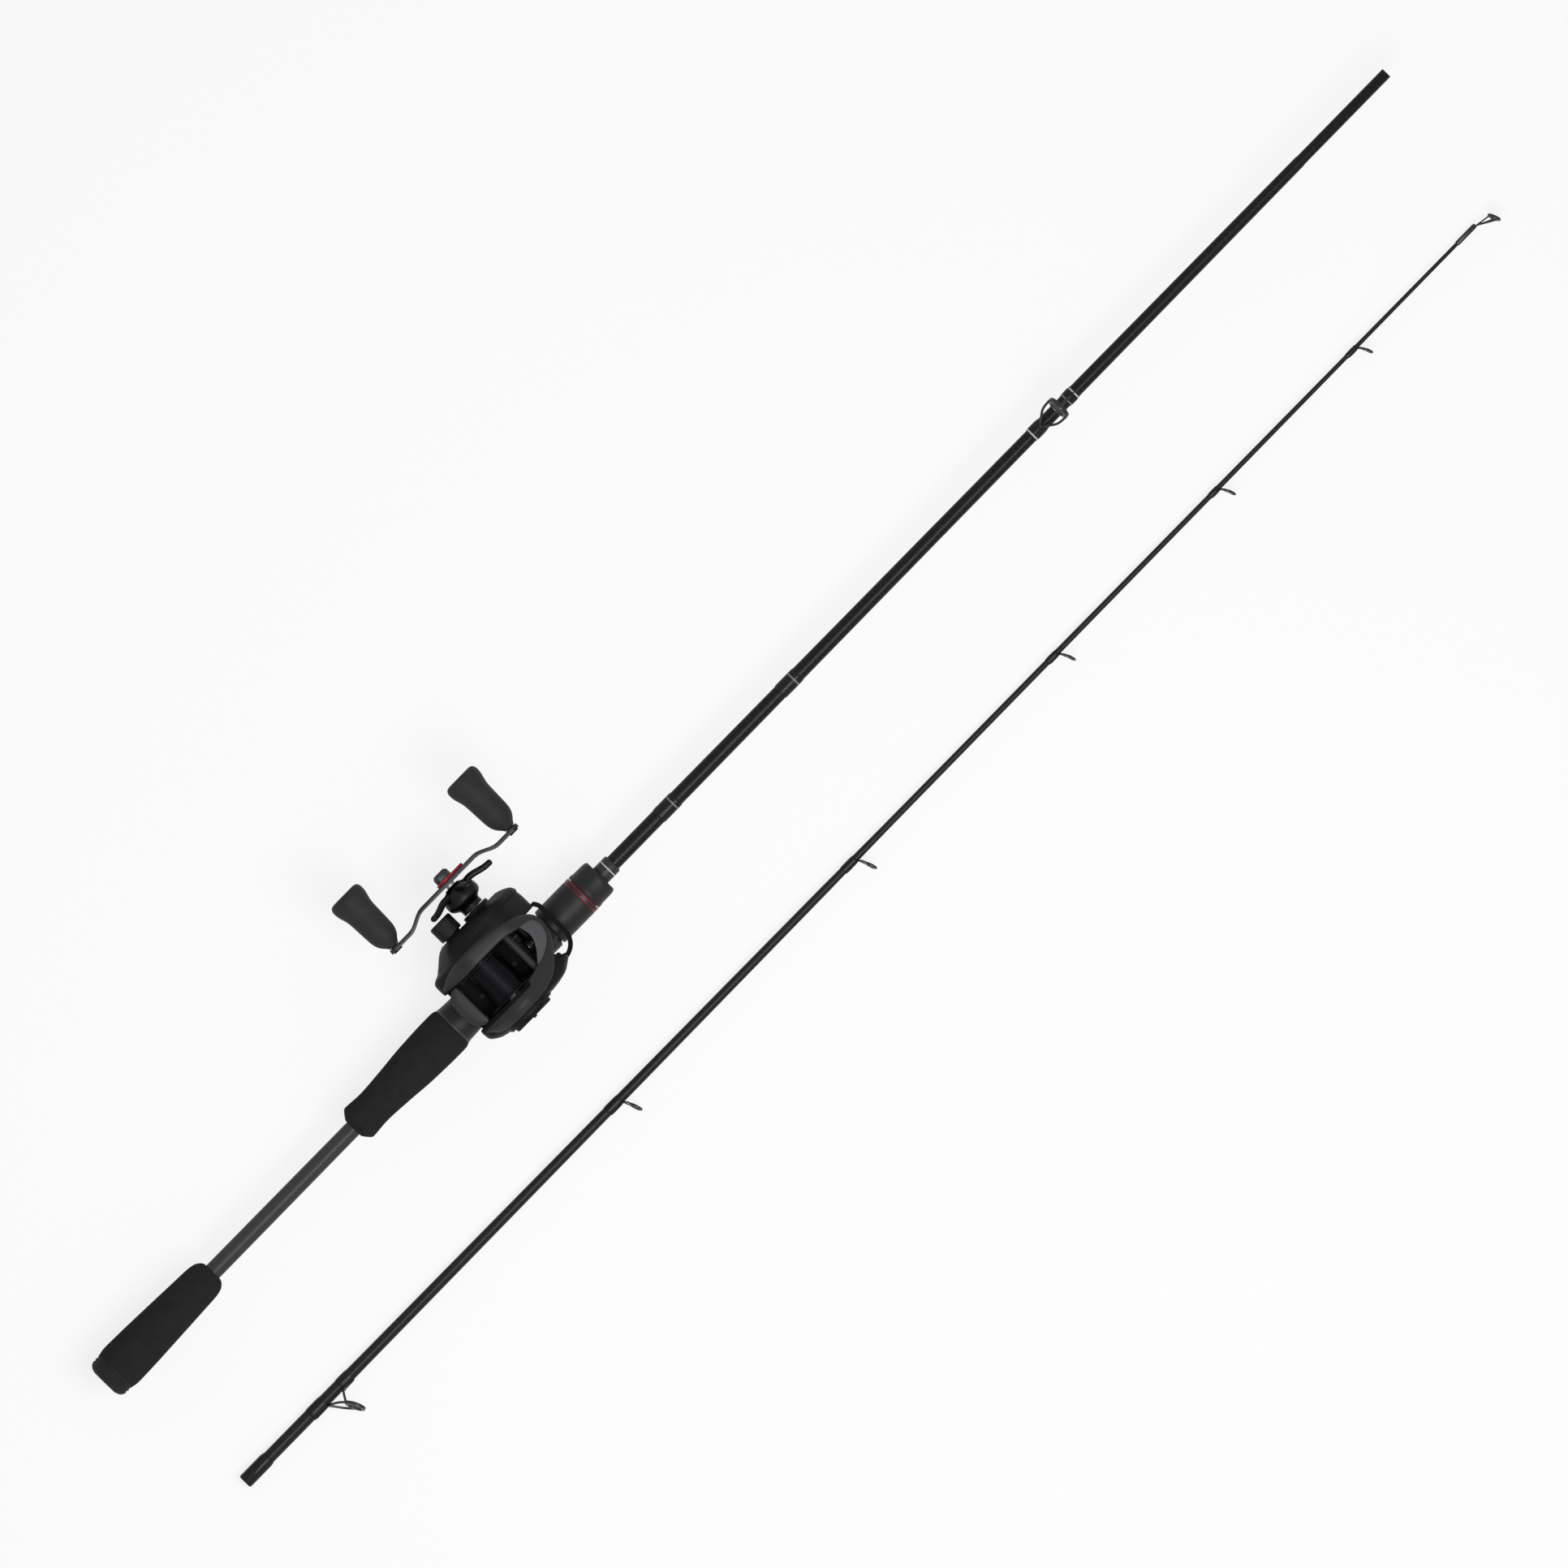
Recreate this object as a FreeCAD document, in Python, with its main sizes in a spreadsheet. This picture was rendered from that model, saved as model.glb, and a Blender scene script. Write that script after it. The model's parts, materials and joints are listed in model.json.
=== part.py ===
import FreeCAD, Part
import math
import os
import Sketcher

# A two-piece casting rod with a low-profile baitcasting reel on it.
# The rod lies along +X with the centre of its butt end at the origin, the reel stands on top (+Z)
# and its crank is on the left of the rod (+Y). The tip section lies beside the rod, in -Y.
# The reel's own axes run along Y.

SIZES = {
    # Gaps: bonded pieces touch, running pieces turn in a fit, other neighbours keep clear.
    "running_gap": 0.05,
    "loose_gap": 0.3,
    # Butt section of the blank: a tapered tube that ends in the straight spigot of the ferrule.
    "butt_length": 1042.8,
    "spigot_length": 70,
    "spigot_radius": 3.2,
    "blank_butt_radius": 5.35,
    "blank_seat_radius": 4.65,
    "blank_guide_radius": 3.93,
    "blank_shoulder_radius": 3.42,
    "blank_wall": 0.9,
    # Butt cap and rear grip.
    "cap_length": 9.5,
    "cap_radius": 13.1,
    "cap_end_radius": 8.5,
    "cap_floor": 4,
    "rear_grip_end": 88.3,
    "rear_grip_radius": 13.85,
    "rear_grip_neck_radius": 11.35,
    "rear_grip_nose": 7.5,
    "nose_radius": 5.9,
    # Main grip, ahead of the bare stretch of blank.
    "main_grip_start": 202.5,
    "main_grip_end": 283,
    "main_grip_cone": 4.2,
    "main_grip_rear_radius": 11.4,
    "main_grip_waist_radius": 10.85,
    "main_grip_radius": 13.9,
    # Reel seat, with its trigger, on a bush that fills it out to the blank.
    "seat_ring_width": 1.8,
    "seat_ring_radius": 12.9,
    "seat_end": 401.3,
    "seat_rear_radius": 12.6,
    "seat_radius": 12.2,
    "seat_bore_radius": 6.6,
    "seat_deck": 7.6,
    "seat_hood_end": 301,
    "barrel_start": 361.7,
    "barrel_radius": 10.2,
    "arbor_margin": 5,
    "trigger_width": 7,
    "trigger_root_x": 322,
    "trigger_root_radius": 7,
    "trigger_middle_x": 314,
    "trigger_middle_depth": 18.5,
    "trigger_middle_radius": 3.2,
    "trigger_tip_x": 309.5,
    "trigger_depth": 29.6,
    "trigger_tip_radius": 2.7,
    # Sliding hood, its red trim ring and the nut that pushes them back onto the reel's foot.
    "hood_radius": 12.25,
    "hood_end": 386,
    "trim_ring_width": 3.5,
    "nut_length": 13.8,
    "nut_radius": 11.95,
    "nut_front_radius": 10.4,
    "nut_lip": 1.8,
    "nut_lip_radius": 6.4,
    "check_end": 413.8,
    "check_radius": 5.9,
    # Thread wraps on the butt section.
    "wrap_thickness": 0.45,
    "wrap_taper": 2,
    "first_wrap_x": 458,
    "second_wrap_x": 557,
    "decor_wrap_length": 15,
    # Stripper guide: the ring stands over the blank and leans towards the tip.
    "stripper_x": 776,
    "stripper_height": 14,
    "stripper_radius": 7.3,
    "stripper_lean": 14,
    "stripper_wire": 0.75,
    # Tip section: it lies parallel to the rod on the surface that carries the trigger.
    "tip_start": 15.5,
    "tip_offset": 96.7,
    "tip_length": 1000,
    "socket_depth": 72,
    "tip_root_radius": 3.78,
    "tip_root_length": 52,
    "tip_radius_at_first": 3.45,
    "tip_first_x": 100,
    "tip_radius_at_second": 2.95,
    "tip_second_x": 290,
    "tip_radius_at_third": 2.42,
    "tip_third_x": 470,
    "tip_radius_at_fourth": 1.98,
    "tip_fourth_x": 520,
    "tip_radius_at_fifth": 1.5,
    "tip_fifth_x": 800,
    "tip_end_radius": 1.05,
    "tip_core_radius": 1.7,
    "tip_core_end": 440,
    "ferrule_wrap_length": 20,
    "ferrule_wrap_thickness": 0.65,
    "tip_top_tube_radius": 1.45,
    "tip_top_tube_length": 15,
    "tip_top_radius": 4,
    # Axes of the reel. The spool turns at spool_x, and the crank's shaft is a gear pair away.
    "spool_x": 320.6,
    "spool_z": 29,
    "drive_x": 340,
    "worm_x": 350,
    "gear_module": 0.5,
    "main_teeth": 68,
    "pinion_teeth": 10,
    "gear_shift": 0.4,
    "wind_module": 0.6,
    "wind_drive_teeth": 28,
    "worm_teeth": 20,
    "gear_backlash": 0.12,
    # Foot and one-piece frame: two walls on a deck, a rear bar and a bumper loop round the nose.
    "foot_start": 297,
    "foot_end": 372,
    "foot_radius": 6,
    "foot_thickness": 1.8,
    "foot_screw_radius": 1.5,
    "foot_screw_spacing": 26,
    "deck_thickness": 2.1,
    "deck_end": 343,
    "crank_wall_inside": 15,
    "crank_wall_thickness": 2.4,
    "palm_wall_inside": 13,
    "palm_wall_thickness": 2.4,
    "rear_lobe_x": 305.2,
    "rear_lobe_z": 21,
    "rear_lobe_radius": 12,
    "top_lobe_radius": 18.5,
    "front_lobe_x": 351,
    "front_lobe_z": 20.6,
    "front_lobe_radius": 13.8,
    "wall_inset": 0.4,
    "crank_wall_front_radius": 10.2,
    "palm_wall_front_x": 344,
    "palm_wall_front_z": 20.6,
    "palm_wall_front_radius": 11.2,
    "rear_bar_x": 294.6,
    "rear_bar_width": 5,
    "rear_bar_bottom": 12.8,
    "rear_bar_height": 4.2,
    "bumper_x": 368.5,
    "bumper_bottom": 14.5,
    "bumper_height": 5,
    "bumper_band": 2.8,
    "bumper_crank_y": 11.5,
    "bumper_crank_corner": 8,
    "bumper_palm_y": 7.3,
    "bumper_palm_corner": 12.2,
    # Covers: each shell is lofted from its joint with the frame to a smaller outer face.
    "cover_wall": 1.5,
    "gear_clearance": 0.8,
    "crank_cover_shoulder": 24,
    "crank_cover_crown": 30,
    "crank_cover_face": 36,
    "gear_room_end": 24.6,
    "drag_room_end": 29,
    "palm_cover_shoulder": 19,
    "palm_cover_crown": 24,
    "palm_cover_face": 26.1,
    "palm_front_x": 346,
    "palm_front_z": 21.5,
    "palm_front_radius": 13,
    "nose_x": 351,
    "nose_z": 22,
    "nose_lobe_radius": 13.4,
    "nose_cover_wall": 3,
    "nose_bottom": 27,
    "nose_cover_start": 337,
    "nose_tip_x": 354.5,
    "nose_tip_y": 7,
    "nose_tip_radius": 8,
    "nose_side_x": 352,
    "nose_side_y": 3,
    "nose_side_radius": 9.5,
    "window_x": 343.5,
    "window_y": 4.6,
    "window_radius": 8.5,
    "window_back_x": 328,
    "window_back_radius": 14.8,
    "label_tip_x": 354.2,
    "label_tip_y": 5.6,
    "label_tip_radius": 5.4,
    "label_side_x": 347,
    "label_side_y": 0.4,
    "label_side_radius": 7,
    "label_thickness": 0.6,
    "cover_screw_radius": 1.1,
    "cover_screw_head_radius": 2,
    "cover_screw_head": 1.4,
    "cover_screw_top": 29.6,
    # Spool and what turns with it.
    "spool_radius": 16.8,
    "arbor_radius": 11.2,
    "spool_palm_face": 12,
    "spool_crank_face": 14,
    "flange_thickness": 1.1,
    "spool_wall": 1.5,
    "spool_shaft_radius": 2.4,
    "shaft_thin_radius": 1.2,
    "shaft_palm_radius": 1.5,
    "shaft_end": 43.8,
    "rotor_radius": 12.6,
    "rotor_thickness": 1,
    "pinion_hub_radius": 3,
    "pinion_bore_radius": 1.25,
    "pinion_neck_radius": 2.3,
    "pinion_face": 3.8,
    "yoke_thickness": 1.5,
    "yoke_start": 26,
    "yoke_post_radius": 1.1,
    "yoke_post_reach": 6.1,
    "yoke_post_rise": 6.5,
    # Brake on the palm side.
    "palm_room_radius": 14,
    "palm_room_end": 22.4,
    "palm_hub_radius": 6,
    "magnet_ring_radius": 13.2,
    "magnet_ring_bore": 7.2,
    "magnet_radius": 1.6,
    "magnet_count": 8,
    "dial_radius": 13.2,
    "dial_thickness": 2.8,
    "dial_stub_radius": 3,
    "dial_rib": 0.8,
    # Bearings.
    "wall_bearing_radius": 5,
    "drive_bearing_radius": 5.5,
    "shaft_bearing_radius": 4.5,
    "bearing_width": 2.4,
    "clutch_bearing_radius": 7.5,
    "clutch_bearing_start": 30,
    "clutch_bearing_width": 6.5,
    "sleeve_radius": 4.5,
    # Drive train on the crank's shaft.
    "drive_radius": 3,
    "wind_gear_start": 18.2,
    "wind_gear_width": 2,
    "main_gear_start": 21.2,
    "main_gear_width": 3,
    "drag_radius": 12.5,
    "drag_washer": 1.05,
    "drag_washer_count": 3,
    "clutch_boss_radius": 9,
    "clutch_boss_end": 38.2,
    # Cast control.
    "cast_boss_radius": 5.4,
    "cast_boss_end": 44,
    "cast_knob_radius": 7.5,
    "cast_knob_start": 36.8,
    "cast_knob_end": 47.4,
    "flute_radius": 0.5,
    # Star drag.
    "star_start": 38.5,
    "star_foot_radius": 6.8,
    "star_hub_radius": 11.2,
    "star_hub_end": 56.5,
    "star_arm_count": 5,
    "star_arm_reach": 23.8,
    "star_arm_radius": 2.8,
    "star_arm_start": 49.2,
    "star_arm_end": 54.8,
    "spring_radius": 5.2,
    "spring_thickness": 1.6,
    # Crank: arm, locking plate, nut and the two grips on their spindles.
    "knob_spacing": 94,
    "arm_end_radius": 4.3,
    "arm_middle_radius": 7.5,
    "arm_seat": 57.9,
    "arm_thickness": 2.6,
    "arm_drop": 5,
    "arm_bend_start": 21,
    "arm_bend_end": 36,
    "plate_thickness": 1.6,
    "plate_reach": 10.5,
    "plate_radius": 6.3,
    "plate_tip_radius": 3,
    "crank_nut_radius": 5.2,
    "crank_nut_height": 4.9,
    "spindle_radius": 2,
    "knob_washer": 0.5,
    "knob_length": 40.7,
    "knob_radius": 11.2,
    "knob_waist_radius": 8.9,
    "knob_neck_radius": 3.3,
    # Level wind.
    "worm_radius": 2.5,
    "worm_journal_radius": 1.6,
    "guard_bore_radius": 2.9,
    "guard_radius": 3.6,
    "guard_slot": 2.6,
    "guide_middle": 1,
    "carriage_width": 9,
    "carriage_wall": 1.3,
    "riser_thickness": 2.8,
    "line_ring_z": 27,
    "line_ring_radius": 3.9,
    "line_ring_bore": 2.9,
    "line_hole_radius": 2,
    "pawl_radius": 1,
    "rail_x": 340.7,
    "rail_z": 33,
    "rail_radius": 2.2,
    # Thumb bar.
    "thumb_x": 298.2,
    "thumb_corner": 3,
    "thumb_back": 4.2,
    "thumb_bottom": 31,
    "thumb_thickness": 3.2,
    "thumb_leg_depth": 9,
    "thumb_leg_width": 2,
}

doc = FreeCAD.newDocument("casting_rod_and_reel")
vector = FreeCAD.Vector


class Size:
    """A size: its number, and the spreadsheet formula that gives that number."""

    def __init__(self, value, formula):
        self.value = value
        self.formula = formula

    def __add__(self, other):
        other = size(other)
        return Size(self.value + other.value, f"({self.formula} + {other.formula})")

    def __sub__(self, other):
        other = size(other)
        return Size(self.value - other.value, f"({self.formula} - {other.formula})")

    def __mul__(self, other):
        other = size(other)
        return Size(self.value * other.value, f"({self.formula} * {other.formula})")

    def __truediv__(self, other):
        other = size(other)
        return Size(self.value / other.value, f"({self.formula} / {other.formula})")

    def __radd__(self, other):
        return size(other) + self

    def __rsub__(self, other):
        return size(other) - self

    def __rmul__(self, other):
        return size(other) * self

    def __neg__(self):
        return Size(-self.value, f"(0 - {self.formula})")


def size(value):
    """The same size, or a plain number as one."""
    return value if isinstance(value, Size) else Size(float(value), repr(float(value)))


def square_root(value):
    return Size(math.sqrt(value.value), f"sqrt({value.formula})")


class Sizes:
    """The spreadsheet's sizes, each under its own name."""


def fill_sheet(table):
    """Write the driving sizes into the spreadsheet and return them by name."""
    sheet = doc.addObject("Spreadsheet::Sheet", "Sizes")
    named = Sizes()
    for row, (name, value) in enumerate(table.items(), start=1):
        sheet.set(f"A{row}", name)
        sheet.set(f"B{row}", str(value))
        sheet.setAlias(f"B{row}", name)
        setattr(named, name, Size(float(value), f"Sizes.{name}"))
    doc.recompute()
    return named


d = fill_sheet(SIZES)


# ---- How pieces are made ------------------------------------------------------------------

TURNS = {
    "X": FreeCAD.Rotation(vector(0, 1, 0), 90),
    "Y": FreeCAD.Rotation(vector(1, 0, 0), -90),
    "Z": FreeCAD.Rotation(),
}
nodes = []


def node(name, obj):
    """Keep an object as one sub-part of the model."""
    obj.Label = name
    nodes.append(obj)
    return obj


def bind(obj, prop, value):
    obj.setExpression(prop, size(value).formula)


def place(obj, at, turn=FreeCAD.Rotation()):
    obj.Placement = FreeCAD.Placement(vector(), turn)
    for letter, value in zip("xyz", at):
        bind(obj, f"Placement.Base.{letter}", value)


def new_body(name, at=(0, 0, 0), turn=FreeCAD.Rotation()):
    body = doc.addObject("PartDesign::Body", name)
    place(body, at, turn)
    return body


def origin_part(body, role):
    return next(part for part in body.Origin.OriginFeatures if part.Role == role)


def new_sketch(body, role, level=0):
    """A sketch on one of the body's own planes, moved along its normal."""
    sketch = body.newObject("Sketcher::SketchObject", body.Name + "_sketch")
    sketch.AttachmentSupport = (origin_part(body, role), [""])
    sketch.MapMode = "FlatFace"
    bind(sketch, "AttachmentOffset.Base.z", level)
    return sketch


def fix_point(sketch, geometry, point, across, up):
    """Hold one point of a sketch at its distances from the origin."""
    for kind, axis, value in (("DistanceX", -2, across), ("DistanceY", -1, up)):
        if value.value == 0 and "Sizes" not in value.formula:
            sketch.addConstraint(Sketcher.Constraint("PointOnObject", geometry, point, axis))
            continue
        index = sketch.addConstraint(Sketcher.Constraint(kind, -1, 1, geometry, point, value.value))
        bind(sketch, f"Constraints[{index}]", value)


def draw_polygon(sketch, points):
    """A closed outline of straight lines."""
    points = [(size(across), size(up)) for across, up in points]
    spots = [vector(across.value, up.value, 0) for across, up in points]
    for start, end in zip(spots, spots[1:] + spots[:1]):
        sketch.addGeometry(Part.LineSegment(start, end), False)
    for index, (across, up) in enumerate(points):
        previous = (index - 1) % len(points)
        sketch.addConstraint(Sketcher.Constraint("Coincident", previous, 2, index, 1))
        fix_point(sketch, index, 1, across, up)


def draw_circle(sketch, across, up, radius):
    across, up, radius = size(across), size(up), size(radius)
    centre = vector(across.value, up.value, 0)
    index = sketch.addGeometry(Part.Circle(centre, vector(0, 0, 1), radius.value), False)
    fix_point(sketch, index, 3, across, up)
    limit = sketch.addConstraint(Sketcher.Constraint("Radius", index, radius.value))
    bind(sketch, f"Constraints[{limit}]", radius)


def draw_hull(sketch, circles):
    """An outline stretched round circles given anticlockwise: an arc on each and tangent lines."""
    circles = [tuple(size(value) for value in circle) for circle in circles]
    count = len(circles)
    normals = []
    for (x, y, radius), (next_x, next_y, next_radius) in zip(circles, circles[1:] + circles[:1]):
        away = vector(next_x.value - x.value, next_y.value - y.value, 0)
        swing = math.acos((radius.value - next_radius.value) / away.Length)
        normals.append(math.atan2(away.y, away.x) - swing)
    for index, (x, y, radius) in enumerate(circles):
        whole = Part.Circle(vector(x.value, y.value, 0), vector(0, 0, 1), radius.value)
        first = normals[index - 1]
        last = first + (normals[index] - first) % (2 * math.pi)
        sketch.addGeometry(Part.ArcOfCircle(whole, first, last), False)
    for index, (x, y, radius) in enumerate(circles):
        next_x, next_y, next_radius = circles[(index + 1) % count]
        out = vector(math.cos(normals[index]), math.sin(normals[index]), 0)
        start = vector(x.value, y.value, 0) + out * radius.value
        end = vector(next_x.value, next_y.value, 0) + out * next_radius.value
        sketch.addGeometry(Part.LineSegment(start, end), False)
    for index, (x, y, radius) in enumerate(circles):
        fix_point(sketch, index, 3, x, y)
        row = sketch.addConstraint(Sketcher.Constraint("Radius", index, radius.value))
        bind(sketch, f"Constraints[{row}]", radius)
        sketch.addConstraint(Sketcher.Constraint("Tangent", index, 2, count + index, 1))
        following = (index + 1) % count
        sketch.addConstraint(Sketcher.Constraint("Tangent", count + index, 2, following, 1))


def lathe(name, axis, points, at=(0, 0, 0), turn=FreeCAD.Rotation()):
    """A solid of revolution; each point gives its place along the axis and its radius."""
    body = new_body(name, at, turn)
    sketch = new_sketch(body, "XY_Plane")
    if axis == "Y":
        points = [(radius, along) for along, radius in points]
    draw_polygon(sketch, points)
    turned = body.newObject("PartDesign::Revolution", name + "_turned")
    turned.Profile = sketch
    turned.ReferenceAxis = (sketch, ["H_Axis" if axis == "X" else "V_Axis"])
    turned.Angle = 360
    sketch.Visibility = False
    return body


def slab(name, axis, low, high, circles=None, points=None, at=(0, 0, 0), turn=FreeCAD.Rotation()):
    """A plate between two levels of an axis, with a hull or a polygon for its outline."""
    body = new_body(name, at, turn)
    low, high = size(low), size(high)
    role = {"X": "YZ_Plane", "Y": "XZ_Plane", "Z": "XY_Plane"}[axis]
    sketch = new_sketch(body, role, -low if axis == "Y" else low)
    if points:
        draw_polygon(sketch, points)
    elif len(circles) == 1:
        draw_circle(sketch, *circles[0])
    else:
        draw_hull(sketch, circles)
    pad = body.newObject("PartDesign::Pad", name + "_pad")
    pad.Profile = sketch
    pad.Reversed = axis == "Y"
    bind(pad, "Length", high - low)
    return body


def loft(name, levels, hulls):
    """A shell's outer form: hulls at several levels along Y, joined by ruled faces."""
    body = new_body(name)
    sketches = []
    for level, circles in zip(levels, hulls):
        sketch = new_sketch(body, "XZ_Plane", -size(level))
        draw_hull(sketch, circles)
        sketches.append(sketch)
    skin = body.newObject("PartDesign::AdditiveLoft", name + "_loft")
    skin.Profile = sketches[0]
    skin.Sections = sketches[1:]
    skin.Ruled = True
    return body


def cylinder(axis, centre, radius, low, high):
    """A round bar along an axis; the centre gives its other two coordinates."""
    bar = doc.addObject("Part::Cylinder", "bar")
    bind(bar, "Radius", radius)
    bind(bar, "Height", size(high) - low)
    start = list(centre)
    start.insert("XYZ".index(axis), low)
    place(bar, start, TURNS[axis])
    return bar


def box(x, y, z):
    """A block between two corners, given as three pairs of limits."""
    block = doc.addObject("Part::Box", "block")
    for prop, (low, high) in zip(("Length", "Width", "Height"), (x, y, z)):
        bind(block, prop, size(high) - low)
    place(block, (x[0], y[0], z[0]))
    return block


def fuse(name, *pieces):
    whole = doc.addObject("Part::MultiFuse", name)
    whole.Shapes = list(pieces)
    return whole


def common(name, *pieces):
    whole = doc.addObject("Part::MultiCommon", name)
    whole.Shapes = list(pieces)
    return whole


def group(name, *pieces):
    whole = doc.addObject("Part::Compound", name)
    whole.Links = list(pieces)
    return whole


def cut(name, base, *tools):
    rest = doc.addObject("Part::Cut", name)
    rest.Base = base
    rest.Tool = tools[0] if len(tools) == 1 else fuse(name + "_tools", *tools)
    return rest


def flutes(body, role, axis_role, across, radius, count):
    """Grooves or holes right through a turned body, spaced evenly round its axis."""
    sketch = new_sketch(body, role)
    draw_circle(sketch, across, 0, radius)
    pocket = body.newObject("PartDesign::Pocket", body.Name + "_flute")
    pocket.Profile = sketch
    pocket.Type = 1
    pocket.Midplane = True
    pattern = body.newObject("PartDesign::PolarPattern", body.Name + "_flutes")
    pattern.Originals = [pocket]
    pattern.Axis = (origin_part(body, axis_role), [""])
    pattern.Angle = 360
    pattern.Occurrences = count
    body.Tip = pattern
    return body


def shaped(name, shape, at=(0, 0, 0), turn=FreeCAD.Rotation()):
    """A shape that neither sketches nor primitives give, set at its place."""
    piece = doc.addObject("Part::Feature", name)
    piece.Shape = shape
    moved_to = FreeCAD.Placement(vector(*[size(value).value for value in at]), turn)
    piece.Placement = moved_to.multiply(piece.Placement)
    return piece


# ---- Places that several pieces share -----------------------------------------------------

centre_distance = d.gear_module * (d.main_teeth + d.pinion_teeth) / 2
wind_distance = d.wind_module * (d.wind_drive_teeth + d.worm_teeth) / 2
drive_z = d.spool_z - square_root(centre_distance * centre_distance
                                  - (d.drive_x - d.spool_x) * (d.drive_x - d.spool_x))
worm_z = drive_z - square_root(wind_distance * wind_distance
                               - (d.worm_x - d.drive_x) * (d.worm_x - d.drive_x))
spool_axis = (d.spool_x, d.spool_z)
drive_axis = (d.drive_x, drive_z)
worm_axis = (d.worm_x, worm_z)
at_spool = (d.spool_x, 0, d.spool_z)
at_drive = (d.drive_x, 0, drive_z)
at_worm = (d.worm_x, 0, worm_z)
seat_start = d.main_grip_end + d.seat_ring_width
nut_start = d.hood_end + d.trim_ring_width + d.loose_gap
nut_end = nut_start + d.nut_length
shoulder_x = d.butt_length - d.spigot_length
foot_top = d.seat_deck + d.foot_thickness
crank_wall_outside = d.crank_wall_inside + d.crank_wall_thickness
palm_wall_outside = -(d.palm_wall_inside + d.palm_wall_thickness)
crank_joint = crank_wall_outside + 0.2
palm_joint = palm_wall_outside - 0.2
main_gear_radius = d.gear_module * (d.main_teeth / 2 + 1 - d.gear_shift)
gear_room_radius = main_gear_radius + d.gear_clearance


def blank_radius(x):
    """Outer radius of the butt section where the grips and the seat sit on it."""
    taper = (d.blank_butt_radius - d.blank_seat_radius) / d.check_end
    return d.blank_butt_radius - taper * x


def front_radius(x):
    """Outer radius of the butt section between the seat and the stripper guide."""
    taper = (d.blank_seat_radius - d.blank_guide_radius) / (d.stripper_x - d.check_end)
    return d.blank_seat_radius - taper * (x - d.check_end)


# ---- Rod: butt section ---------------------------------------------------------------------

def make_butt_blank():
    wall = d.blank_wall
    start = d.cap_floor
    stations = [
        (start, blank_radius(start)),
        (d.check_end, d.blank_seat_radius),
        (d.stripper_x, d.blank_guide_radius),
        (shoulder_x, d.blank_shoulder_radius),
    ]
    outside = stations + [(shoulder_x, d.spigot_radius), (d.butt_length, d.spigot_radius)]
    inside = [(x, radius - wall) for x, radius in stations]
    inside[-1] = (shoulder_x, d.spigot_radius - wall)
    inside.append((d.butt_length, d.spigot_radius - wall))
    node("butt_blank", lathe("butt_blank", "X", outside + inside[::-1]))


def make_butt_cap():
    """A rubber cup over the end of the blank, with a rounded rim."""
    rim = d.cap_radius - d.cap_end_radius
    node("butt_cap", lathe("butt_cap", "X", [
        (0, 0),
        (0, d.cap_end_radius),
        (rim * 0.3, d.cap_radius - rim * 0.3),
        (rim, d.cap_radius - 0.3),
        (d.cap_length, d.cap_radius),
        (d.cap_length, blank_radius(d.cap_length)),
        (d.cap_floor, blank_radius(d.cap_floor)),
        (d.cap_floor, 0),
    ]))


def make_rear_grip():
    end = d.rear_grip_end
    nose = end - d.rear_grip_nose
    swell = d.cap_length * 1.6
    node("rear_grip", lathe("rear_grip", "X", [
        (d.cap_length, d.cap_radius),
        (swell, d.rear_grip_radius),
        (nose, d.rear_grip_neck_radius),
        (nose + d.rear_grip_nose * 0.6, d.rear_grip_neck_radius - 1.2),
        (end, d.nose_radius),
        (end, blank_radius(end)),
        (d.cap_length, blank_radius(d.cap_length)),
    ]))


def make_main_grip():
    start = d.main_grip_start
    end = d.main_grip_end
    length = end - start
    swell = d.main_grip_radius - d.main_grip_waist_radius
    node("main_grip", lathe("main_grip", "X", [
        (start, blank_radius(start) + 1),
        (start + d.main_grip_cone, d.main_grip_rear_radius),
        (start + length * 0.22, d.main_grip_waist_radius),
        (start + length * 0.42, d.main_grip_waist_radius + swell * 0.33),
        (start + length * 0.62, d.main_grip_waist_radius + swell * 0.76),
        (start + length * 0.82, d.main_grip_radius - 0.05),
        (end - 3, d.main_grip_radius),
        (end, d.seat_ring_radius + 0.2),
        (end, blank_radius(end)),
        (start, blank_radius(start)),
    ]))


def make_seat_ring():
    end = d.main_grip_end
    node("seat_ring", lathe("seat_ring", "X", [
        (end, blank_radius(end)),
        (end, d.seat_ring_radius),
        (seat_start, d.seat_ring_radius - 0.2),
        (seat_start, blank_radius(seat_start)),
    ]))


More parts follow.
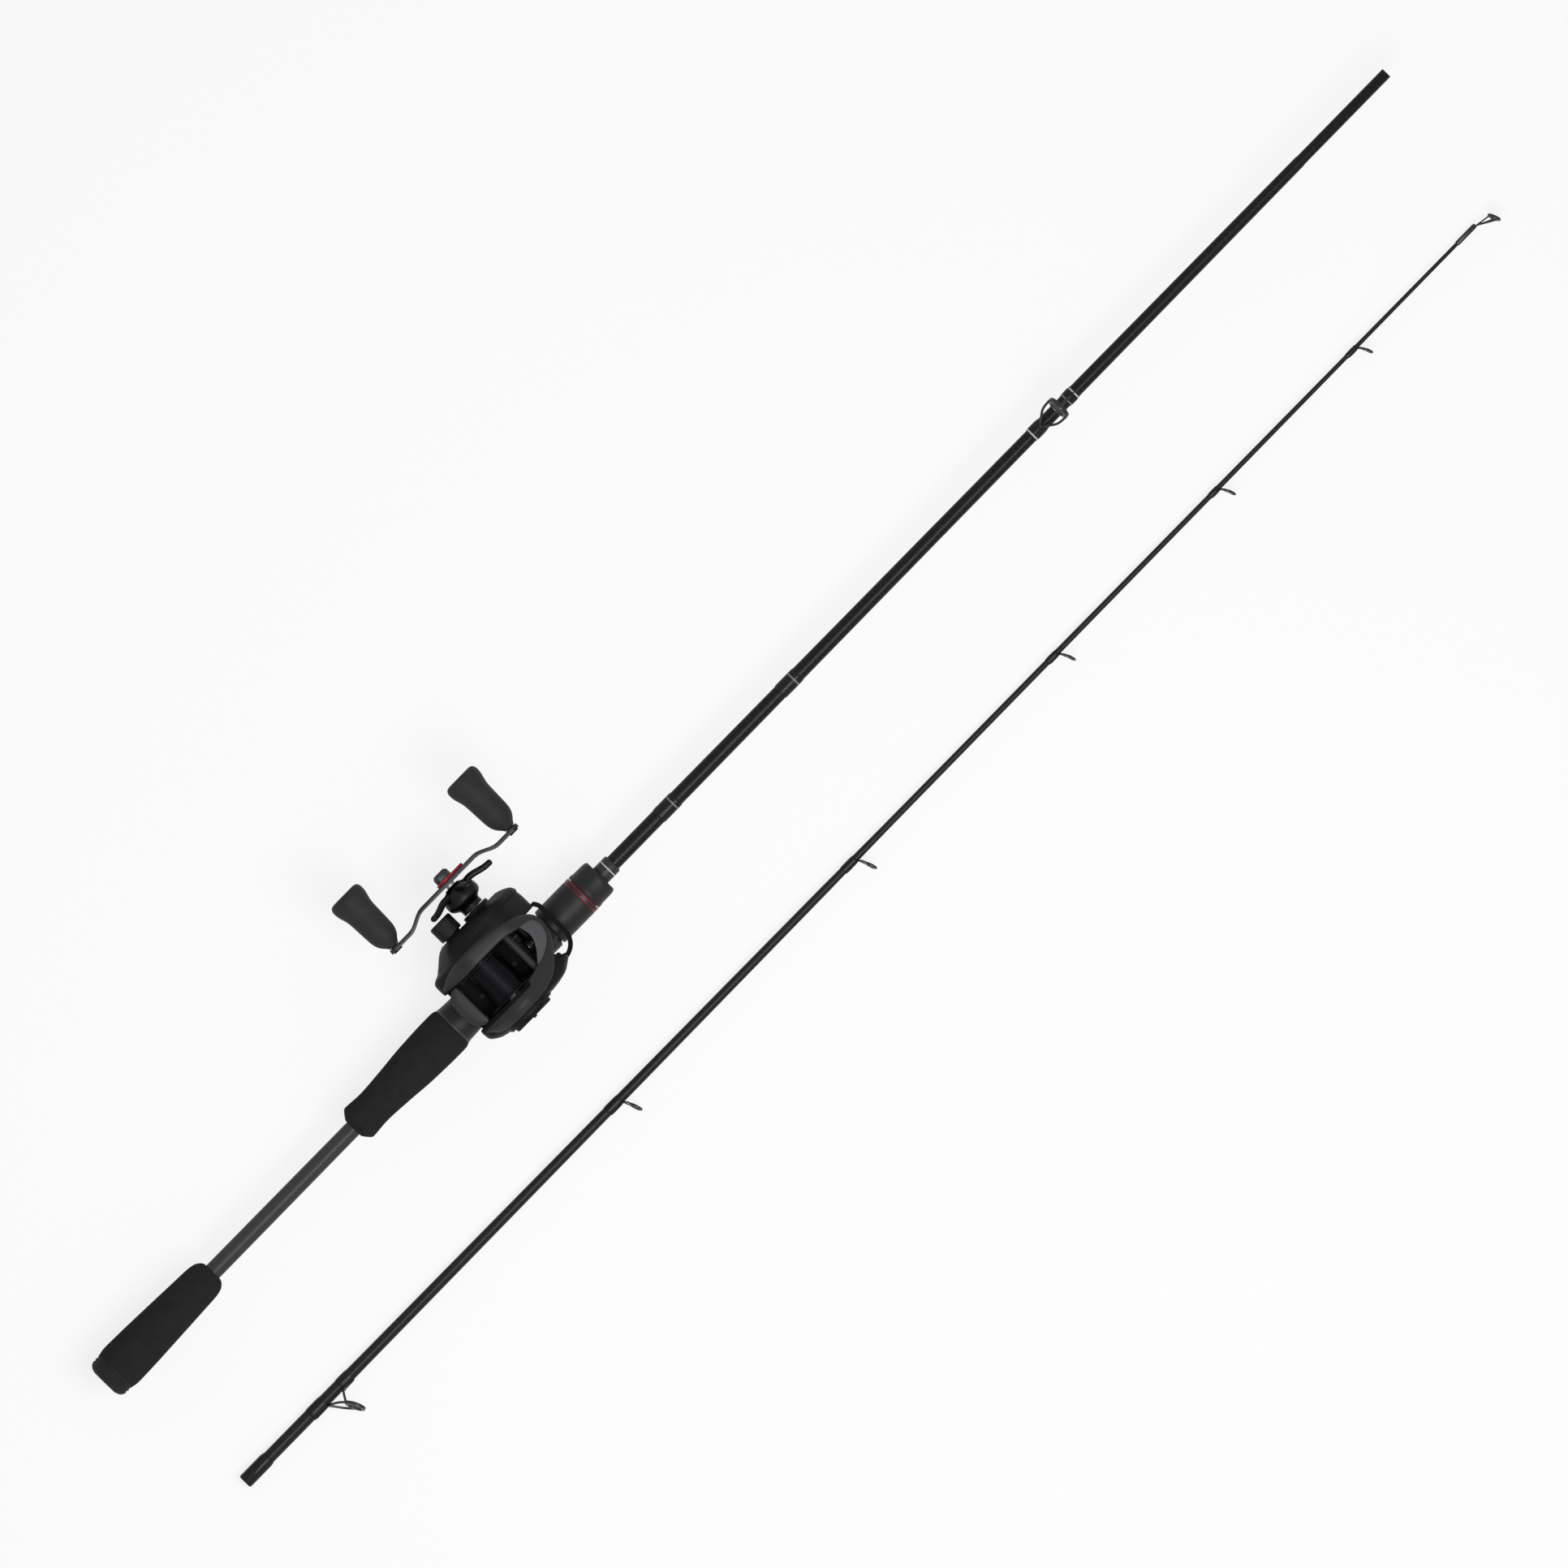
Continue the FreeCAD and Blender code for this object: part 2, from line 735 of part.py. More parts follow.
def make_reel_seat():
    """A barrel with a flat deck for the reel's foot, a fixed rear hood and a trigger below."""
    shell = lathe("seat_shell", "X", [
        (seat_start, d.seat_rear_radius),
        (seat_start + 8, d.seat_radius),
        (d.barrel_start, d.seat_radius),
        (d.barrel_start, d.barrel_radius),
        (d.seat_end, d.barrel_radius),
        (d.seat_end, d.seat_bore_radius),
        (seat_start, d.seat_bore_radius),
    ])
    reach = d.seat_radius + 1
    deck = box((d.seat_hood_end, d.foot_end + d.loose_gap), (-reach, reach), (d.seat_deck, reach))
    pocket_half = d.foot_radius + d.loose_gap / 2
    pocket = box((d.foot_start - d.loose_gap, d.seat_hood_end + 1), (-pocket_half, pocket_half),
                 (d.seat_deck, foot_top + d.loose_gap / 2))
    half = d.trigger_width / 2
    middle = (d.trigger_middle_x, -d.trigger_middle_depth, d.trigger_middle_radius)
    root = (d.trigger_root_x, -(d.seat_bore_radius + d.trigger_root_radius / 2), d.trigger_root_radius)
    tip = (d.trigger_tip_x, d.trigger_tip_radius - d.trigger_depth, d.trigger_tip_radius)
    upper = slab("trigger_root", "Y", -half, half, circles=[middle, root])
    lower = slab("trigger_tip", "Y", -half, half, circles=[tip, middle])
    bore = cylinder("X", (0, 0), d.seat_bore_radius, seat_start, d.seat_end)
    whole = fuse("seat_solid", cut("seat_barrel", shell, deck, pocket), upper, lower)
    node("reel_seat", cut("reel_seat", whole, bore))


def make_seat_arbor():
    """The bush between the blank and the wider seat."""
    start = seat_start + d.arbor_margin
    end = d.seat_end - d.arbor_margin
    node("seat_arbor", lathe("seat_arbor", "X", [
        (start, blank_radius(start)),
        (start, d.seat_bore_radius),
        (end, d.seat_bore_radius),
        (end, blank_radius(end)),
    ]))


def make_sliding_hood():
    """A sleeve on the seat's barrel, with a pocket that takes the front of the foot."""
    start = d.barrel_start + d.loose_gap
    bore = d.barrel_radius + 0.1
    sleeve = lathe("hood_sleeve", "X", [
        (start, bore),
        (start, d.hood_radius),
        (d.hood_end, d.hood_radius),
        (d.hood_end, bore),
    ])
    half = d.foot_radius + d.loose_gap / 2
    pocket = box((start - 1, d.foot_end + d.loose_gap), (-half, half), (0, foot_top + d.loose_gap / 2))
    node("sliding_hood", cut("sliding_hood", sleeve, pocket))
    end = d.hood_end + d.trim_ring_width
    node("hood_trim_ring", lathe("hood_trim_ring", "X", [
        (d.hood_end, bore),
        (d.hood_end, d.hood_radius),
        (end, d.hood_radius),
        (end, bore),
    ]))


def make_lock_nut():
    bore = d.barrel_radius + 0.1
    lip = nut_end - d.nut_lip
    body = lathe("lock_nut", "X", [
        (nut_start, bore),
        (nut_start, d.nut_radius + 0.15),
        (nut_start + 2.5, d.nut_radius + 0.15),
        (nut_start + 3.2, d.nut_radius - 0.2),
        (nut_end - 2.5, d.nut_radius - 0.3),
        (nut_end, d.nut_front_radius),
        (nut_end, d.nut_lip_radius),
        (lip, d.nut_lip_radius),
        (lip, bore),
    ])
    node("lock_nut", body)


def make_winding_check():
    end = d.check_end
    node("winding_check", lathe("winding_check", "X", [
        (d.seat_end, blank_radius(d.seat_end)),
        (d.seat_end, d.check_radius),
        (end - 0.6, d.check_radius),
        (end, d.check_radius - 0.5),
        (end, d.blank_seat_radius),
    ]))


def wrap_profile(start, end, start_radius, end_radius, thickness):
    """Half section of a thread wrap: a thin sleeve that tapers off at both ends."""
    taper = d.wrap_taper
    return [
        (start, start_radius),
        (start + taper, start_radius + thickness),
        (end - taper, end_radius + thickness),
        (end, end_radius),
    ]


def make_decorative_wraps():
    wraps = []
    for number, middle in enumerate((d.first_wrap_x, d.second_wrap_x)):
        start = middle - d.decor_wrap_length / 2
        end = middle + d.decor_wrap_length / 2
        points = wrap_profile(start, end, front_radius(start), front_radius(end), d.wrap_thickness * 0.8)
        wraps.append(lathe(f"decor_wrap_{number}", "X", points))
    node("decorative_wraps", group("decorative_wraps", *wraps))


# ---- Guides --------------------------------------------------------------------------------

def wire(points, radius):
    """A bent wire: round bars between points, with a ball at each bend."""
    shape = Part.makeSphere(radius, points[0])
    for start, end in zip(points, points[1:]):
        run = end - start
        shape = shape.fuse([Part.makeCylinder(radius, run.Length, start, run), Part.makeSphere(radius, end)])
    return shape


def hoop(outer, inner, width, height, lean):
    """A flat ring that stands over the blank and leans towards the tip."""
    ring = Part.makeCylinder(outer, width, vector(0, 0, -width / 2))
    ring = ring.cut(Part.makeCylinder(inner, width * 2, vector(0, 0, -width)))
    ring.rotate(vector(), vector(0, 1, 0), 90 + lean)
    ring.translate(vector(0, 0, height))
    return ring


def on_hoop(radius, angle, height, lean):
    """A point on that ring, at an angle from its lowest point."""
    side = radius * math.sin(math.radians(angle))
    up = -radius * math.cos(math.radians(angle))
    tilt = math.radians(lean)
    return vector(up * math.sin(tilt), side, height + up * math.cos(tilt))


def foot_plate(start, end, blank, wide, thick):
    """A guide's foot, flat on top of the blank under its wrap."""
    return Part.makeBox(end - start, wide, thick * 2, vector(start, -wide / 2, blank - thick))


def guide_frame(ring, band, width, height, lean, blank, wire_radius, rear, front=None):
    """A guide's frame round the origin: a hoop, two bowed legs to the rear foot, one to a front foot."""
    frame = hoop(ring, ring - band, width, height, lean)
    wide = wire_radius * 2.6
    seat = vector(rear[1], 0, blank + wire_radius)
    for side in (-1, 1):
        spot = on_hoop(ring - band / 2, side * 80, height, lean)
        bow = seat + (spot - seat) * 0.5
        bow.y = spot.y * 0.85
        frame = frame.fuse(wire([seat, bow, spot], wire_radius))
    frame = frame.fuse(foot_plate(rear[0], rear[1] + wire_radius, blank, wide, wire_radius))
    if front:
        low = on_hoop(ring - band / 2, 0, height, lean)
        knee = vector(front[0], 0, blank + wire_radius)
        frame = frame.fuse(wire([knee, low], wire_radius))
        frame = frame.fuse(foot_plate(front[0] - wire_radius, front[1], blank, wide, wire_radius))
    return frame


def turned_solid(points):
    """The solid that points (along, radius) sweep round the X axis."""
    corners = [vector(x, 0, radius) for x, radius in points]
    corners = [vector(points[0][0], 0, 0)] + corners + [vector(points[-1][0], 0, 0)]
    face = Part.Face(Part.makePolygon(corners + corners[:1]))
    return face.revolve(vector(), vector(1, 0, 0), 360)


def foot_wrap(start, end, start_radius, end_radius, thickness, hollows):
    """A thread wrap round the blank and over a guide's foot."""
    taper = d.wrap_taper.value * 2
    sleeve = turned_solid([
        (start, start_radius),
        (start + taper, start_radius + thickness),
        (end - taper, end_radius + thickness),
        (end, end_radius),
    ])
    return sleeve.cut(hollows)


def make_stripper_guide():
    """The butt section's guide: a braced ring on two feet, near the end of the blank."""
    middle = d.stripper_x.value
    reach = 30
    core = turned_solid([(along, front_radius(size(middle + along)).value) for along in (-reach, 0, reach)])
    ring = d.stripper_radius.value
    height = d.stripper_height.value
    lean = d.stripper_lean.value
    wire_radius = d.stripper_wire.value
    blank = d.blank_guide_radius.value
    band = 1.0
    insert = hoop(ring - band, ring - band - 1.1, 2.8, height, lean)
    frame = guide_frame(ring, band, 2.2, height, lean, blank, wire_radius, (-20, -12), (5, 12.5))
    frame = frame.cut([core, insert])
    at = (d.stripper_x, 0, 0)
    node("stripper_frame", shaped("stripper_frame", frame, at))
    node("stripper_ring", shaped("stripper_ring", insert, at))
    thickness = d.wrap_thickness.value + wire_radius
    wraps = [foot_wrap(start, end, front_radius(middle + size(start)).value,
                       front_radius(middle + size(end)).value, thickness, [core, frame])
             for start, end in ((-22.5, -12.5), (5.2, 13.5))]
    node("stripper_wraps", shaped("stripper_wraps", Part.makeCompound(wraps), at))


# ---- Rod: tip section ----------------------------------------------------------------------

GUIDES_UP = 28  # The section lies with its guides to one side, raised this far from level.
ON_SIDE = FreeCAD.Rotation(vector(1, 0, 0), 90 - GUIDES_UP)
TIP_GUIDES = [
    # Ring's place as a share of the section, outer radius, height over the axis, lean, foot's far end.
    (0.075, 6.2, 16.5, 28, -22),
    (0.3082, 4.2, 10.9, 20, -13.5),
    (0.4999, 3.8, 10.5, 20, -13.5),
    (0.664, 3, 8.9, 18, -11.5),
    (0.795, 2.8, 8.3, 18, -10.5),
    (0.9073, 2.6, 7.7, 20, -11.5),
]
tip_z = 6.6 - d.trigger_depth
at_tip = (d.tip_start, -d.tip_offset, tip_z)
tip_stations = [
    (size(0), d.tip_root_radius),
    (d.tip_root_length, d.tip_root_radius),
    (d.tip_first_x, d.tip_radius_at_first),
    (d.tip_second_x, d.tip_radius_at_second),
    (d.tip_third_x, d.tip_radius_at_third),
    (d.tip_fourth_x, d.tip_radius_at_fourth),
    (d.tip_fifth_x, d.tip_radius_at_fifth),
    (d.tip_length, d.tip_end_radius),
]


def tip_radius(x):
    """Outer radius of the tip section at a distance from its butt."""
    for (start, first), (end, last) in zip(tip_stations, tip_stations[1:]):
        if x <= end.value:
            share = (x - start.value) / (end.value - start.value)
            return first.value + share * (last.value - first.value)
    return d.tip_end_radius.value


def make_tip_blank():
    socket = d.spigot_radius + d.running_gap
    inside = [
        (d.tip_core_end, size(0)),
        (d.tip_core_end - 20, d.tip_core_radius),
        (d.socket_depth + 6, d.tip_core_radius + 1),
        (d.socket_depth, socket),
        (0, socket),
    ]
    outside = tip_stations + [(d.tip_length, size(0))]
    node("tip_blank", lathe("tip_blank", "X", outside + inside, at_tip))


def make_ferrule_wrap():
    radius = d.tip_root_radius
    end = d.ferrule_wrap_length
    outer = radius + d.ferrule_wrap_thickness
    return lathe("ferrule_wrap", "X", [
        (0.4, radius),
        (0.4, outer),
        (end - 1.5, outer),
        (end, radius),
    ], at_tip)


def make_tip_guides():
    """All guides of the tip section, with their wraps; the first one stands on two feet."""
    frames, rings, wraps = [], [], []
    blank = turned_solid([(x.value, radius.value) for x, radius in tip_stations])
    for share, ring, height, lean, heel in TIP_GUIDES:
        first = share == TIP_GUIDES[0][0]
        x = d.tip_length.value * share
        wire_radius = 0.7 if first else 0.45
        band = 0.9 if first else 0.6
        toe = -10 if first else -2.5
        front = (1.5, 9.5) if first else None
        core = blank.copy()
        core.translate(vector(-x, 0, 0))
        lining = 0.9 if first else 0.55
        insert = hoop(ring - band, ring - band - lining, 2.2 if first else 1.5, height, lean)
        frame = guide_frame(ring, band, 1.6 if first else 1.1, height, lean, tip_radius(x), wire_radius,
                            (heel + 1.5, toe), front)
        frame = frame.cut([core, insert])
        thickness = d.wrap_thickness.value * 0.7 + wire_radius
        feet = [(heel, toe - 0.5)] + ([(front[0] + 0.3, front[1] + 1.5)] if front else [])
        for start, end in feet:
            wraps.append(foot_wrap(start, end, tip_radius(x + start), tip_radius(x + end), thickness,
                                   [core, frame]))
            wraps[-1].translate(vector(x, 0, 0))
        for shape, shapes in ((frame, frames), (insert, rings)):
            shape.translate(vector(x, 0, 0))
            shapes.append(shape)
    for name, shapes in (("tip_guide_frames", frames), ("tip_guide_rings", rings)):
        node(name, shaped(name, Part.makeCompound(shapes), at_tip, ON_SIDE))
    guide_wraps = shaped("guide_wraps", Part.makeCompound(wraps), at_tip, ON_SIDE)
    node("tip_wraps", group("tip_wraps", make_ferrule_wrap(), guide_wraps))


def make_tip_top():
    """The last guide: a tube over the tip with a braced ring ahead of it."""
    ring = d.tip_top_radius.value
    tube = d.tip_top_tube_radius.value
    height = 5.2
    lean = 24
    end = d.tip_length.value
    ahead = 10.5
    cap = 0.8
    shape = hoop(ring, ring - 1, 1.5, height, lean)
    insert = hoop(ring - 1, ring - 1.7, 1.9, height, lean)
    root = vector(-ahead, 0, 0)
    for angle in (-70, 70, 180):
        shape = shape.fuse(wire([root + vector(0, 0, 0.6), on_hoop(ring - 0.5, angle, height, lean)], 0.45))
    sleeve = Part.makeCylinder(tube, d.tip_top_tube_length.value, vector(-ahead, 0, 0), vector(-1, 0, 0))
    core = Part.makeCylinder(tip_radius(end - d.tip_top_tube_length.value), d.tip_top_tube_length.value,
                             vector(-ahead - cap, 0, 0), vector(-1, 0, 0))
    shape = shape.fuse(sleeve).cut([core, insert])
    for name, piece in (("tip_top", shape), ("tip_top_ring", insert)):
        piece.translate(vector(end + cap + ahead, 0, 0))
        node(name, shaped(name, piece, at_tip, ON_SIDE))


# ---- Reel: foot, frame and covers ----------------------------------------------------------

rear_lobe = (d.rear_lobe_x, d.rear_lobe_z, d.rear_lobe_radius)
front_lobe = (d.front_lobe_x, d.front_lobe_z, d.front_lobe_radius)
gear_lobe = (d.drive_x, drive_z, gear_room_radius + d.cover_wall)
top_lobe = (d.spool_x, d.spool_z, d.top_lobe_radius)
nose_lobe = (d.nose_x, d.nose_z, d.nose_lobe_radius)
palm_front_lobe = (d.palm_front_x, d.palm_front_z, d.palm_front_radius)
foot_screw_places = [d.spool_x + side * d.foot_screw_spacing / 2 for side in (-1, 1)]
cover_screw_places = [
    (d.rear_lobe_x - 1.7, d.rear_lobe_z - 3),
    (d.front_lobe_x + 7.8, d.front_lobe_z - 1.1),
    (d.spool_x + 1.4, d.spool_z + 12.2),
]


def moved(lobe, across, up, inset):
    """A circle of an outline, shifted and made smaller."""
    x, z, radius = lobe
    return (x + across, z + up, radius - inset)


def make_reel_foot():
    radius = d.foot_radius
    ends = [(d.foot_end - radius, 0, radius), (d.foot_start + radius, 0, radius)]
    plate = slab("foot_plate", "Z", d.seat_deck, foot_top, circles=ends)
    holes = []
    for x in foot_screw_places:
        holes.append(cylinder("Z", (x, 0), d.foot_screw_radius, d.seat_deck, foot_top))
        holes.append(cylinder("Z", (x, 0), d.foot_screw_radius + 1, d.seat_deck, d.seat_deck + 1))
    node("reel_foot", cut("reel_foot", plate, *holes))


def bumper_slab(name, inset, reach):
    """The plan of the loop round the nose, made smaller by an inset, reach beyond its two faces."""
    bottom = d.bumper_bottom - reach
    top = d.bumper_bottom + d.bumper_height + reach
    crank = (d.bumper_x - d.bumper_crank_corner, d.bumper_crank_y, d.bumper_crank_corner)
    palm = (d.bumper_x - d.bumper_palm_corner, -d.bumper_palm_y, d.bumper_palm_corner)
    return slab(name, "Z", bottom, top, circles=[moved(corner, 0, 0, inset) for corner in (palm, crank)])


def make_bumper():
    """The loop round the nose: a bent bar, open towards the line guide, that ends at the two walls."""
    loop = cut("bumper_loop", bumper_slab("bumper_outer", 0, 0), bumper_slab("bumper_inner", d.bumper_band, 0))
    back = d.bumper_x - 2 * d.bumper_palm_corner - 1
    room = box((back, d.bumper_x - d.bumper_palm_corner - 0.3), (-d.palm_wall_inside, d.crank_wall_inside),
               (d.bumper_bottom, d.bumper_bottom + d.bumper_height))
    beyond = box((back, d.bumper_x), (crank_wall_outside - 0.2, crank_wall_outside + 10),
                 (d.bumper_bottom, d.bumper_bottom + d.bumper_height))
    return cut("bumper", loop, room, beyond)


def make_reel_frame():
    """Two walls, a deck, a rear bar, the bumper loop and the posts of the clutch yoke."""
    gear_wall = (d.drive_x, drive_z, gear_room_radius - 1.1)
    crank_front = (d.front_lobe_x, d.palm_wall_front_z, d.crank_wall_front_radius)
    palm_front = (d.palm_wall_front_x, d.palm_wall_front_z, d.palm_wall_front_radius)
    rear = moved(rear_lobe, 0, 0, d.wall_inset)
    top = moved(top_lobe, 0, 0, d.wall_inset)
    crank_wall = slab("crank_wall", "Y", d.crank_wall_inside, crank_wall_outside,
                      circles=[rear, crank_front, gear_wall, top])
    palm_wall = slab("palm_wall", "Y", palm_wall_outside, -d.palm_wall_inside,
                     circles=[rear, palm_front, moved(top_lobe, 0, 0, 0)])
    across = (-d.palm_wall_inside - 0.5, d.crank_wall_inside + 0.5)
    deck_top = foot_top + d.deck_thickness
    deck = box((d.seat_hood_end + 0.6, d.deck_end), across, (foot_top, deck_top))
    rear_bar = box((d.rear_bar_x, d.rear_bar_x + d.rear_bar_width), across,
                   (d.rear_bar_bottom, d.rear_bar_bottom + d.rear_bar_height))
    posts = [cylinder("Y", (d.spool_x - d.yoke_post_reach, d.spool_z + side * d.yoke_post_rise),
                      d.yoke_post_radius, crank_wall_outside, d.yoke_start + d.yoke_thickness + 0.5)
             for side in (-1, 1)]
    journal = d.worm_journal_radius + d.running_gap
    holes = [
        cylinder("Y", spool_axis, d.wall_bearing_radius, d.crank_wall_inside, crank_wall_outside),
        cylinder("Y", drive_axis, d.drive_bearing_radius, d.crank_wall_inside, crank_wall_outside),
        cylinder("Y", worm_axis, journal, palm_wall_outside, crank_wall_outside),
        cylinder("Y", spool_axis, d.spool_radius + 0.5, palm_wall_outside, -d.palm_wall_inside),
    ]
    for x in foot_screw_places:
        holes.append(cylinder("Z", (x, 0), d.foot_screw_radius, foot_top, deck_top))
    for spot in cover_screw_places:
        holes.append(cylinder("Y", spot, d.cover_screw_radius, d.crank_wall_inside, crank_wall_outside))
    solid = fuse("frame_solid", crank_wall, palm_wall, deck, rear_bar, make_bumper(), *posts)
    node("reel_frame", cut("reel_frame", solid, *holes))


def make_crank_side_cover():
    """The gear case: lofted towards the crank, hollow inside, with two bosses outside."""
    face = [
        moved(rear_lobe, 12.8, 3, 4),
        moved(front_lobe, -3, 2.4, 5.2),
        moved(gear_lobe, -1.5, 0, 7),
        moved(top_lobe, 1.4, -1.5, 7.5),
    ]
    crown = [
        moved(rear_lobe, 5.3, 1, 3),
        moved(front_lobe, 0, 0.4, 1.6),
        moved(gear_lobe, 0, 0, 2.2),
        moved(top_lobe, 0, -0.2, 3),
    ]
    joint = [rear_lobe, front_lobe, gear_lobe, top_lobe]
    shoulder = [moved(lobe, 0, 0, 0.4) for lobe in joint]
    levels = (crank_joint, d.crank_cover_shoulder, d.crank_cover_crown, d.crank_cover_face)
    shell = loft("crank_cover_shell", levels, (joint, shoulder, crown, face))
    inside = d.crank_cover_face - 2
    clutch_boss = cylinder("Y", drive_axis, d.clutch_boss_radius, inside, d.clutch_boss_end)
    cast_boss = cylinder("Y", spool_axis, d.cast_boss_radius, inside, d.cast_boss_end)
    gear_room = slab("gear_room", "Y", crank_joint, d.gear_room_end, circles=[
        moved(rear_lobe, 0, 0, 2.6),
        moved(front_lobe, 0, 0, 1.6),
        (d.drive_x, drive_z, gear_room_radius),
        moved(top_lobe, 0, 0, 1.6),
    ])
    drag_room = slab("drag_room", "Y", d.gear_room_end, d.drag_room_end, circles=[
        moved(rear_lobe, 7.8, 2, 5),
        moved(front_lobe, -1, 0.9, 7.3),
        (d.drive_x, drive_z, d.drag_radius + 2),
        moved(top_lobe, 0, 0, 6.5),
    ])
    clutch_end = d.clutch_bearing_start + d.clutch_bearing_width
    bores = [
        gear_room,
        drag_room,
        cylinder("Y", drive_axis, d.drag_radius + 1, d.gear_room_end, d.drag_room_end),
        cylinder("Y", spool_axis, d.pinion_hub_radius + 1.2, d.drag_room_end, d.drag_room_end + 1.2),
        cylinder("Y", drive_axis, d.clutch_bearing_radius, d.drag_room_end, clutch_end),
        cylinder("Y", drive_axis, d.sleeve_radius + 0.5, d.drag_room_end, d.clutch_boss_end),
        cylinder("Y", spool_axis, d.shaft_thin_radius + 0.5, d.drag_room_end, d.cast_boss_end),
        cylinder("Y", spool_axis, d.shaft_bearing_radius, d.cast_boss_end - 6.6, d.cast_boss_end),
    ]
    head = d.cover_screw_top - d.cover_screw_head
    for spot in cover_screw_places:
        bores.append(cylinder("Y", spot, d.cover_screw_radius, crank_joint, head))
        bores.append(cylinder("Y", spot, d.cover_screw_head_radius + 0.1, head, d.crank_cover_face))
    solid = fuse("crank_cover_solid", shell, clutch_boss, cast_boss)
    node("crank_side_cover", cut("crank_side_cover", solid, *bores))


def make_palm_side_cover():
    """The brake's case: lofted towards the palm, with a hub for the spool's bearing inside."""
    joint = [rear_lobe, palm_front_lobe, top_lobe]
    shoulder = [moved(lobe, 0, 0, 0.3) for lobe in joint]
    crown = [moved(rear_lobe, 2.8, 0, 3), moved(palm_front_lobe, -4, 0.5, 3), moved(top_lobe, 0, 0, 1.7)]
    last = [moved(rear_lobe, 8.8, 2, 4), moved(palm_front_lobe, -14, 2.5, 4), moved(top_lobe, 0, 0, 3.5)]
    levels = (palm_joint, -d.palm_cover_shoulder, -d.palm_cover_crown, -d.palm_cover_face)
    shell = loft("palm_cover_shell", levels, (joint, shoulder, crown, last))
    wall = 0.3 + d.cover_wall
    room_step = -d.palm_cover_shoulder - 0.4
    room = slab("palm_room", "Y", room_step, palm_joint, circles=[moved(lobe, 0, 0, wall) for lobe in joint])
    deep_room = cylinder("Y", spool_axis, d.palm_room_radius, -d.palm_room_end, room_step)
    notch = bumper_slab("bumper_notch", -d.loose_gap, d.loose_gap)
    hollow = cut("palm_cover_shell_open", shell, room, deep_room, notch)
    hub = cylinder("Y", spool_axis, d.palm_hub_radius, -d.palm_room_end, palm_joint - 2.2)
    solid = fuse("palm_cover_solid", hollow, hub)
    bearing_room = cylinder("Y", spool_axis, d.shaft_bearing_radius, -d.palm_room_end + 1.4, palm_joint)
    face = -d.palm_cover_face
    dial_room = cylinder("Y", spool_axis, d.dial_stub_radius + d.loose_gap, face, face + 1.7)
    node("palm_side_cover", cut("palm_side_cover", solid, bearing_room, dial_room))


def nose_shell(name, inner_inset, outer_inset):
    """A curved sheet between two side outlines, as wide as the room between the walls."""
    lobes = [rear_lobe, nose_lobe, top_lobe]
    sides = (-d.palm_wall_inside, d.crank_wall_inside)
    outer = slab(name + "_out", "Y", *sides, circles=[moved(lobe, 0, 0, outer_inset) for lobe in lobes])
    inner = slab(name + "_in", "Y", *sides, circles=[moved(lobe, 0, 0, inner_inset) for lobe in lobes])
    return cut(name, outer, inner)


def make_nose_cover():
    """The hood over the line guide, open above the spool, and the bare plate on it."""
    top = d.spool_z + d.top_lobe_radius + 2
    back = d.nose_cover_start + 3
    outline = slab("nose_outline", "Z", d.nose_bottom, top, circles=[
        (back, 2 - d.palm_wall_inside, 2),
        (d.nose_side_x, -d.nose_side_y, d.nose_side_radius),
        (d.nose_tip_x, d.nose_tip_y, d.nose_tip_radius),
        (back, d.crank_wall_inside - 2, 2),
    ])
    opening = [
        (d.window_back_x, d.guide_middle, d.window_back_radius),
        (d.window_x, d.window_y, d.window_radius),
    ]
    window = slab("nose_window", "Z", d.nose_bottom, top, circles=opening)
    sheet = nose_shell("nose_sheet", d.nose_cover_wall, 0)
    node("nose_cover", common("nose_cover", sheet, cut("nose_plan", outline, window)))
    plate = slab("label_outline", "Z", d.nose_bottom, top, circles=[
        (d.label_side_x, -d.label_side_y, d.label_side_radius),
        (d.label_tip_x, d.label_tip_y, d.label_tip_radius),
    ])
    edge = slab("label_edge", "Z", d.nose_bottom, top, circles=[moved(circle, 0, 0, -0.6) for circle in opening])
    label_sheet = nose_shell("label_sheet", 0, -d.label_thickness)
    node("label_plate", common("label_plate", label_sheet, cut("label_plan", plate, edge)))


def make_reel_screws():
    screws = []
    for x in foot_screw_places:
        head = cylinder("Z", (x, 0), d.foot_screw_radius + 1, d.seat_deck, d.seat_deck + 1)
        shank = cylinder("Z", (x, 0), d.foot_screw_radius, d.seat_deck, foot_top + d.deck_thickness)
        screws.append(fuse("foot_screw", head, shank))
    under_head = d.cover_screw_top - d.cover_screw_head
    for spot in cover_screw_places:
        head = cylinder("Y", spot, d.cover_screw_head_radius, under_head, d.cover_screw_top)
        shank = cylinder("Y", spot, d.cover_screw_radius, d.crank_wall_inside, under_head)
        screws.append(fuse("cover_screw", head, shank))
    node("reel_screws", group("reel_screws", *screws))


# ---- Reel: spool, brake and bearings -------------------------------------------------------

def make_spool():
    palm = -d.spool_palm_face
    crank = d.spool_crank_face
    lip = d.flange_thickness
    arbor = d.arbor_radius
    bore = d.spool_shaft_radius
    inside = arbor - d.spool_wall
    web = crank - 2.5
    body = lathe("spool", "Y", [
        (palm, inside),
        (palm, d.spool_radius),
        (palm + lip, d.spool_radius),
        (palm + lip + 0.5, arbor),
        (crank - lip - 0.5, arbor),
        (crank - lip, d.spool_radius),
        (crank, d.spool_radius),
        (crank, inside),
        (web, inside),
        (web, bore),
        (web - 8, bore),
        (web - 8, bore + 2),
        (web - 2, bore + 2),
        (web - 2, inside),
    ], at_spool)
    node("spool", flutes(body, "XZ_Plane", "Y_Axis", (arbor + d.spool_radius) / 2, 1.2, 12))


